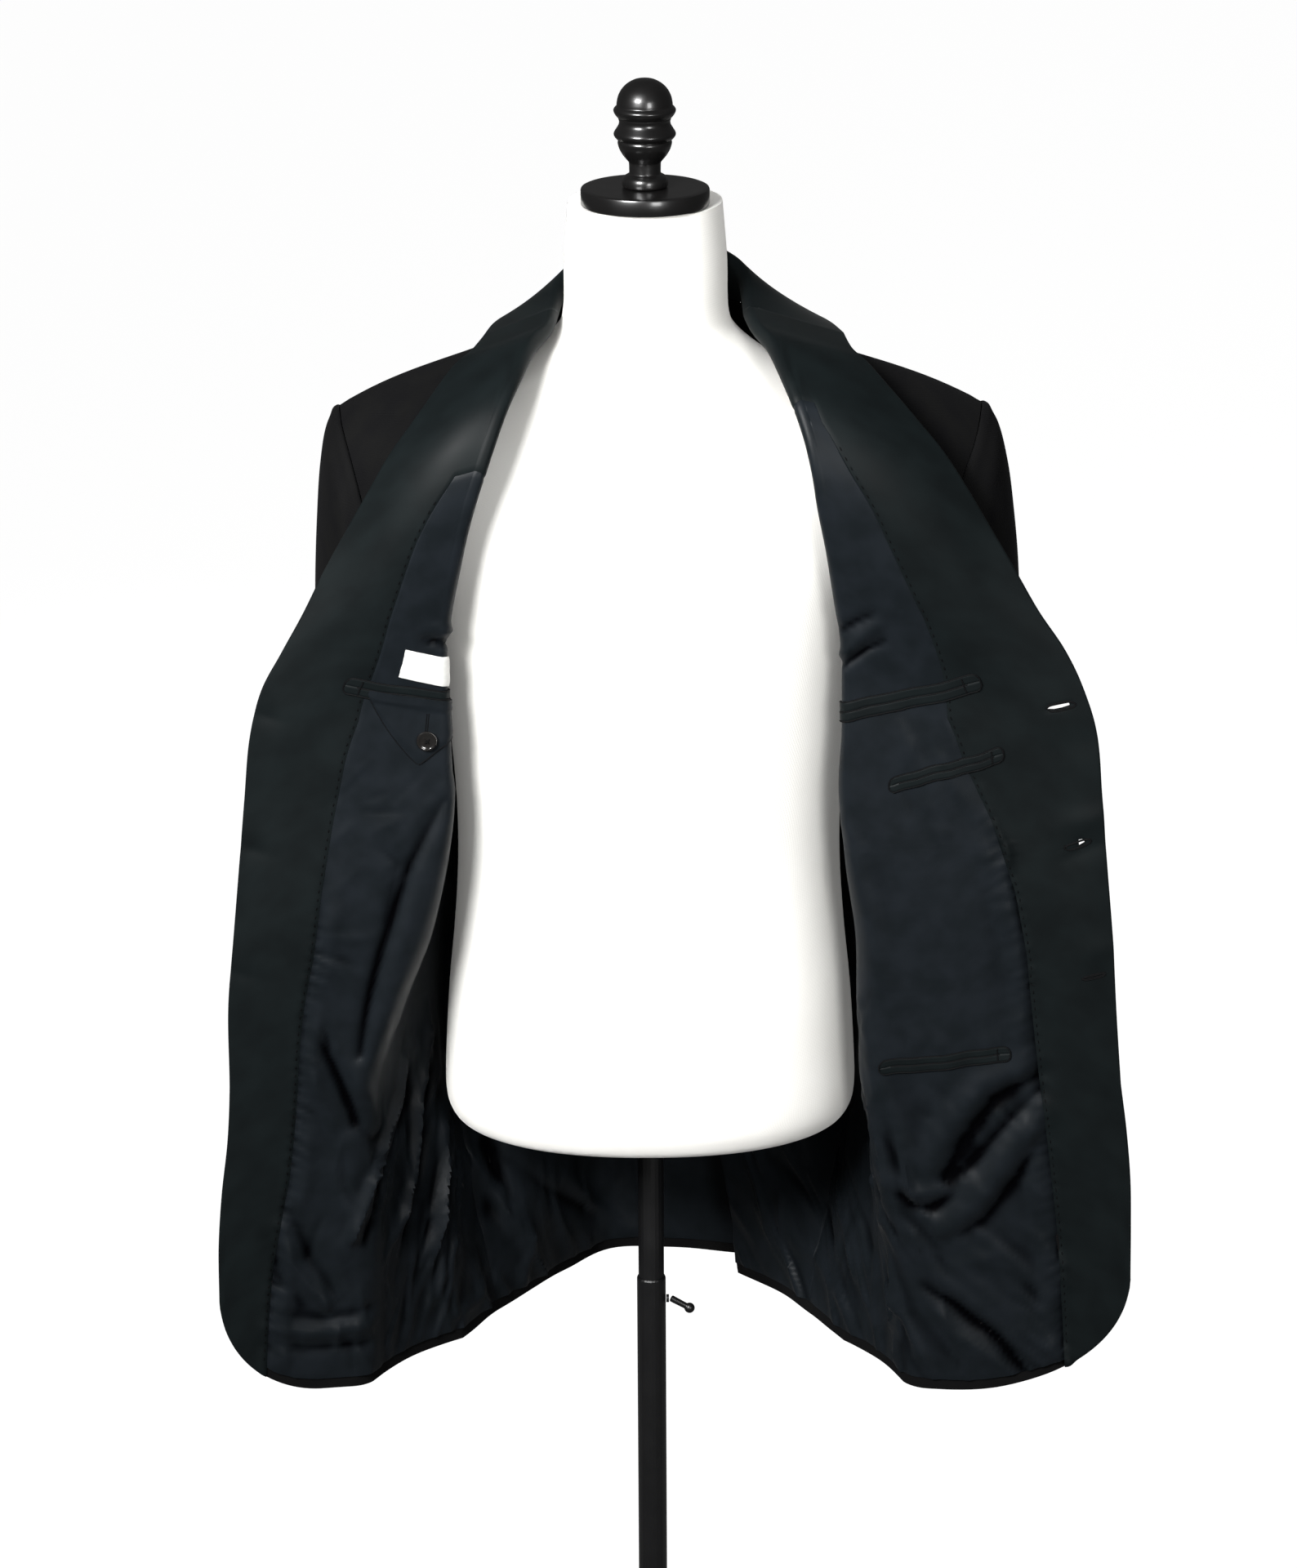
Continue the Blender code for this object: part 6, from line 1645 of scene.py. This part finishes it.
# %% Bare label
LABEL_D, LABEL_Z = 0.0871, 1.1353
LABEL_SIZE = (0.051, 0.0212)
LABEL_SLOPE, LABEL_LEAN = 0.257, 0.0042
LABEL_NEAR, LABEL_FAR, LABEL_SWELL = 0.0022, 0.0026, 0.0006
long, high = LABEL_SIZE
steps, levels = np.linspace(0, 1, 19), np.linspace(0, 1, 9)
rows = [
    [(LABEL_D + long * t + LABEL_LEAN * s, LABEL_Z - LABEL_SLOPE * long * t - high * s) for t in steps]
    for s in levels
]
edge = np.minimum(np.minimum(levels, 1 - levels)[:, None], np.minimum(steps, 1 - steps)[None, :]) * 8
far = -(LABEL_FAR + LABEL_SWELL * np.clip(edge, 0, 1))
made = sewn_patch("label_ribbon", "label", "left", rows, -LABEL_NEAR, far, "label")

# %% [markdown]
# ## Turned pieces
# Buttons, the neck cap, the finial, the lever and the base are round. Each is a profile of radius
# and height, spun about its axis like work on a lathe. A smooth curve through the profile keeps
# the turned shape, and doubled places keep an edge.

# %% Lathe
TURNED_EDGE = 40.0  # degrees between faces that stay a sharp edge
UP = (0, 0, 1)


def spin(name, node, start, axis, profile, sides, finish, body):
    """Spin a profile of (radius, height) about an axis. Its first and last radius are closed."""
    axis = unit(np.asarray(axis, dtype=float))
    helper = np.array([0.0, 0.0, 1.0]) if abs(axis[2]) < 0.9 else np.array([1.0, 0.0, 0.0])
    first_way = unit(np.cross(helper, axis))
    second_way = np.cross(axis, first_way)
    turns = 2 * math.pi * np.arange(sides) / sides
    rim = np.cos(turns)[:, None] * first_way + np.sin(turns)[:, None] * second_way
    start = np.asarray(start, dtype=float)
    points = [start + axis * h + rim * r for r, h in profile]
    points += [[start + axis * profile[0][1]], [start + axis * profile[-1][1]]]
    points = np.vstack(points)
    faces = []
    for i in range(len(profile) - 1):
        for k in range(sides):
            a, b = i * sides + k, i * sides + (k + 1) % sides
            faces.append((a, b, b + sides, a + sides))
    base = (len(profile) - 1) * sides
    foot = len(profile) * sides
    for k in range(sides):
        following = (k + 1) % sides
        faces.append((foot, following, k))
        faces.append((foot + 1, base + k, base + following))
    finish_piece(mesh_object(name, points, faces, sharp=TURNED_EDGE), finish, body, [node])


def metres(profile):
    """Turn a profile's millimetres into metres."""
    return [(r / 1000, h / 1000) for r, h in profile]


def smooth_profile(places, steps):
    """Return a profile with more points, on a smooth curve through the given ones (in mm)."""
    places = np.array(places, dtype=float) / 1000
    at = np.arange(0, len(places) - 1 + 1e-9, 1 / steps)
    return [tuple(read_row(("r", "h"), places, k).values()) for k in at]


# %% [markdown]
# The front buttons sit on the outside of the turned-back left front, so they face away from the
# camera. Each has a raised rim and a dished middle, where a cross of thread covers the holes.

# %% Buttons
# (radius, height), both as shares of the button's radius
BUTTON_PROFILE = (
    (0.72, 0.0), (0.93, 0.07), (1.0, 0.17), (0.985, 0.27), (0.93, 0.345),
    (0.84, 0.36), (0.76, 0.325), (0.68, 0.275), (0.45, 0.26), (0.05, 0.26),
)
FRONT_BUTTONS_Z = (1.090, 0.986, 0.882)
CROSS_THREAD = 0.00045


def sew_button(node, laid, distance, z, radius, outward, offset):
    """Sew a button on the left cloth: the moulded disc and its crossed thread."""
    point, way = cloth_place("left", laid, distance, z)
    axis = mirrored("left", way) * (1.0 if outward else -1.0)
    start = mirrored("left", point) + axis * offset
    profile = [(r * radius, h * radius) for r, h in BUTTON_PROFILE]
    spin(f"{node}_disc", node, start, axis, profile, 40, "button", "dressed_form")
    across = unit(np.cross(np.array([0.0, 0.0, 1.0]), axis))
    up = np.cross(axis, across)
    top = start + axis * radius * 0.27
    arm = radius * 0.20
    for k, (a, b) in enumerate(((1, 1), (1, -1))):
        one, two = (top + (across * a + up * b) * arm * s for s in (-1, 1))
        lane = [
            one - axis * radius * 0.1, one + axis * 0.0003, top + axis * 0.0007,
            two + axis * 0.0003, two - axis * radius * 0.1,
        ]
        thread_piece(f"{node}_disc_thread_{k + 1}", [curve(lane, 12)], CROSS_THREAD)


for number, z in enumerate(FRONT_BUTTONS_Z, start=1):
    sew_button(f"front_button_{number}", WOOL_LAID, 0.015, z, 0.010, True, 0.0022)
sew_button("inner_button", INNER_LAID, 0.1244, 1.0660, 0.0073, False, 0.0041)

# %% [markdown]
# ## Hand sewing
# Pick stitches run along the facing's inner seam: tiny spans of thread, 2.2 mm long, one every
# 6.5 mm. Each seam's stitches are one mesh of small tubes. The buttonholes on the right front are
# bound with close stitches. From this far the binding is a ridge, so two rings of thread make it.

# %% Pick stitches
STITCH_APART, STITCH_LONG, STITCH_THREAD = 0.0065, 0.0022, 0.00035
STITCH_SHAPE = ((0, 0.2), (0.25, 0.9), (0.75, 0.9), (1, 0.2))  # share of its length, of its radius
BESIDE_SEAM = 0.0022
STITCHES_FROM = {"left": FACING_TO_FOLD["left"] + 0.4, "right": 5.0}


def stitch_line(name, side, lane):
    """Sew a line of short stitches on the satin along a lane of flat places."""
    lane = np.array(lane, dtype=float)
    run = np.concatenate([[0], np.cumsum(np.linalg.norm(np.diff(lane, axis=0), axis=1))])
    spans = []
    for start in np.arange(STITCH_APART, run[-1] - STITCH_APART, STITCH_APART):
        stitch = []
        for share, height in STITCH_SHAPE:
            at = start + STITCH_LONG * share
            d, z = (float(np.interp(at, run, lane[:, k])) for k in (0, 1))
            point, way = cloth_place(side, INNER_LAID, d, z)
            stitch.append(mirrored(side, point + way * (SATIN[1] - STITCH_THREAD * height)))
        spans.append(stitch)
    print(name, "stitches:", len(spans))
    thread_piece(name, spans, STITCH_THREAD, sides=5)


for side, grid in GRIDS.items():
    rows = range(BODY_ROWS.index(STITCHES_FROM[side]), LAST - 3, 3)
    seam = [(PLACES[side][row, SATIN_SEAM] - BESIDE_SEAM, grid[row, SATIN_SEAM, 2]) for row in rows]
    stitch_line(f"facing_stitches_{side}", side, seam)

# %% Bound buttonholes
HOLE_RINGS = ((0.0007, 1), (0.0015, 0.6))  # half height of a closed slit's ring, and its rise
OPENS_BY = 0.0014
for number, (first, last, height, slope, opened) in enumerate(BUTTONHOLES, start=1):
    way = unit(np.array([1.0, slope]))
    aside = np.array([-way[1], way[0]])
    middle = np.array([(first + last) / 2, height])
    lanes = []
    for closed, lift in HOLE_RINGS:
        half_height = closed + OPENS_BY * min(opened * 3, 1)
        ring = []
        for a in np.linspace(0, 2 * math.pi, 97):
            bow = math.copysign(abs(math.cos(a)) ** 0.45, math.cos(a))
            spot = middle + way * bow * (last - first) * 0.56 + aside * math.sin(a) * half_height
            point, out = cloth_place("right", INNER_LAID, *spot)
            ring.append(mirrored("right", point + out * (SATIN[1] - 0.0003 * lift)))
        lanes.append(ring)
    thread_piece(f"buttonhole_{number}", lanes, 0.0005)

# %% [markdown]
# ## The form
# The form is a padded body in jersey, cut off flat below the hips. Its sections are rounded
# ellipses, joined along smooth curves.

# %% Padded form
TORSO_COLUMNS = ("z", "half", "front", "back", "power")
FORM_BOTTOM_Z = 0.744
TORSO_ROWS = (
    (1.4262, 0.0540, -0.040, 0.072, 2.0),
    (1.3850, 0.0572, -0.044, 0.079, 2.0),
    (1.3500, 0.0580, -0.050, 0.081, 2.0),
    (1.3360, 0.0640, -0.055, 0.076, 2.0),
    (1.3200, 0.0850, -0.062, 0.070, 2.0),
    (1.3000, 0.1180, -0.072, 0.073, 2.0),
    (1.2750, 0.1480, -0.083, 0.082, 2.1),
    (1.2400, 0.1660, -0.096, 0.097, 2.3),
    (1.2000, 0.1620, -0.105, 0.103, 2.3),
    (1.1500, 0.1510, -0.110, 0.107, 2.2),
    (1.1100, 0.1465, -0.108, 0.107, 2.2),
    (1.0600, 0.1430, -0.102, 0.105, 2.2),
    (1.0000, 0.1385, -0.096, 0.101, 2.2),
    (0.9500, 0.1380, -0.092, 0.100, 2.2),
    (0.9000, 0.1410, -0.093, 0.102, 2.2),
    (0.8500, 0.1460, -0.097, 0.108, 2.2),
    (0.8050, 0.1490, -0.099, 0.114, 2.2),
    (0.7720, 0.1500, -0.100, 0.117, 2.2),
    (0.7560, 0.1470, -0.096, 0.114, 2.2),
    (0.7470, 0.1380, -0.088, 0.106, 2.2),
    (FORM_BOTTOM_Z, 0.1170, -0.072, 0.088, 2.2),
)
SIDES = 120
ROUND_STEPS = np.arange(0, len(TORSO_ROWS) - 1 + 1e-9, 0.2)
levels = {name: column(TORSO_COLUMNS, TORSO_ROWS, name, ROUND_STEPS) for name in TORSO_COLUMNS}
turns = 2 * math.pi * np.arange(SIDES + 1) / SIDES
rows = []
for k in range(len(ROUND_STEPS)):
    front, back = levels["front"][k], levels["back"][k]
    middle, depth = (front + back) / 2, (back - front) / 2
    power = 2 / levels["power"][k]
    x = levels["half"][k] * np.sign(np.cos(turns)) * np.abs(np.cos(turns)) ** power
    y = middle + depth * np.sign(np.sin(turns)) * np.abs(np.sin(turns)) ** power
    rows.append(np.stack([x, y, np.full(SIDES + 1, levels["z"][k])], axis=1))
grid = np.array(rows)
flat = flat_map(grid)[:, :-1].reshape(-1, 2)
points = grid[:, :-1].reshape(-1, 3)
faces = []
for i in range(len(rows) - 1):
    for k in range(SIDES):
        a, b = i * SIDES + k, i * SIDES + (k + 1) % SIDES
        faces.append((a, a + SIDES, b + SIDES, b))
foot = (len(rows) - 1) * SIDES
faces.append(tuple(range(SIDES)))
faces.append(tuple(reversed(range(foot, foot + SIDES))))
form = mesh_object("padded_form", points, faces, flat)
finish_piece(form, "jersey", "dressed_form", ["torso_form"])

# %% [markdown]
# Lamps that suit black cloth leave the turned-away sides of the white form grey. Two soft lamps
# stand beside it and light nothing else, which only a render can do.

# %% Lamps for the form alone
form_alone = bpy.data.collections.new("form_alone")
form_alone.objects.link(form)
for side, reach in (("left", -1.0), ("right", 1.0)):
    lamp = soft_lamp(f"lamp_form_{side}", (2.2 * reach, -1.6, 1.2), CHEST, (1.6, 1.6), 18.0, shines=False)
    lamp.light_linking.receiver_collection = form_alone
    lamp.light_linking.blocker_collection = form_alone

# %% [markdown]
# ## Cap, finial and stand
# The neck cap is a lacquered disc with a small round on its rims. The finial is a turned knob with
# two sharp rings between hollows, and it catches the lamps in thin lines.

# %% Cap and finial
CAP_Z, CAP_THICK, CAP_MM = 1.4268, 0.012, 44.9
CAP = [
    (CAP_MM - 1.2, 0), (CAP_MM - 0.35, 0.35), (CAP_MM, 1.2), (CAP_MM, 10.4),
    (CAP_MM - 0.45, 11.5), (CAP_MM - 1.6, 12.0), (CAP_MM - 5, 12.0), (20, 12.0),
]
LOWER_KNOB = [
    (15.0, 0.3), (15.8, 1.2), (16.0, 3.0), (15.8, 5.2), (14.9, 7.4), (12.8, 8.9), (11.3, 9.7),
    (11.0, 10.6), (11.0, 13), (11.1, 16.6), (11.5, 18.2), (13.2, 20.2), (15.4, 23.0), (17.4, 26.4),
    (18.5, 29.4), (18.9, 31.6), (18.5, 33.0),
]
RINGS = [
    (18.3, 33.3), (19.6, 34.2), (21.1, 36.0), (21.6, 37.6), (21.1, 39.2), (19.6, 41.6), (18.2, 44.0),
    (17.8, 46.2), (18.3, 48.2), (18.4, 49.0), (19.4, 49.8), (21.0, 52.0), (21.7, 54.2), (21.0, 55.8),
    (19.8, 57.0),
]
DOME = [
    (19.5, 57.6), (19.3, 60.0), (18.3, 64.2), (15.9, 68.7), (12.2, 72.4), (7.4, 75.1), (3.0, 76.1),
    (0.4, 76.2),
]
knob = smooth_profile(LOWER_KNOB, 4) + smooth_profile(RINGS, 4) + smooth_profile(DOME, 5)
for name, node, z, profile, sides in (
    ("neck_cap_disc", "neck_cap", CAP_Z, metres(CAP), 96),
    ("finial_knob", "finial", CAP_Z + CAP_THICK, knob, 72),
):
    spin(name, node, (0, 0, z), UP, profile, sides, "turned_wood", "dressed_form")

# %% [markdown]
# The pole is two tubes that slide in each other, held by a small clamp with a ball-ended lever. The
# base is a heavy iron disc. The tubes and the clamp's stud keep their CAD solids, which already are
# exact turned shapes, and get their enamel.

# %% Stand
CLAMP_Z, STUD_END_X, DROP = 0.597, 0.0131, math.radians(30)
LEVER_SPACE, LEVER_HALF = 0.0003, 0.0025
BALL_R, BALL_AT = 3.9, 15.8
LEVER = [(2.1, 0), (2.5, 0.4), (2.4, 6.0), (2.3, 11.4), (2.3, 12.4)]
BASE = [
    (158.5, 0), (159.6, 0.5), (160, 1.6), (160, 11.0), (159.4, 12.8), (157.6, 14.4), (154, 15.8),
    (148, 16.6), (60, 18.6), (40, 19.6), (33, 21.2), (28, 24), (25, 28), (24, 32), (24, 43.0),
    (23.4, 45.0), (21.6, 46.0), (12.0, 46.0),
]
turns = np.radians(np.linspace(-50, 88, 14))
ball = [(BALL_R * math.cos(a), BALL_AT + BALL_R * math.sin(a)) for a in turns]
foot = (STUD_END_X + LEVER_SPACE + LEVER_HALF * math.sin(DROP), 0, CLAMP_Z)
lean = (math.cos(DROP), 0, -math.sin(DROP))
spin("clamp_lever_handle", "clamp_lever", foot, lean, metres(LEVER + ball), 32, "pole_steel", "clamp")
spin("stand_base_disc", "stand_base", (0, 0, 0), UP, metres(BASE), 128, "base_iron", "stand")
for node in ("inner_tube", "outer_tube", "clamp_stud"):
    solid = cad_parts[node]
    solid.data.materials.clear()
    solid.data.materials.append(FINISHES["pole_steel"])
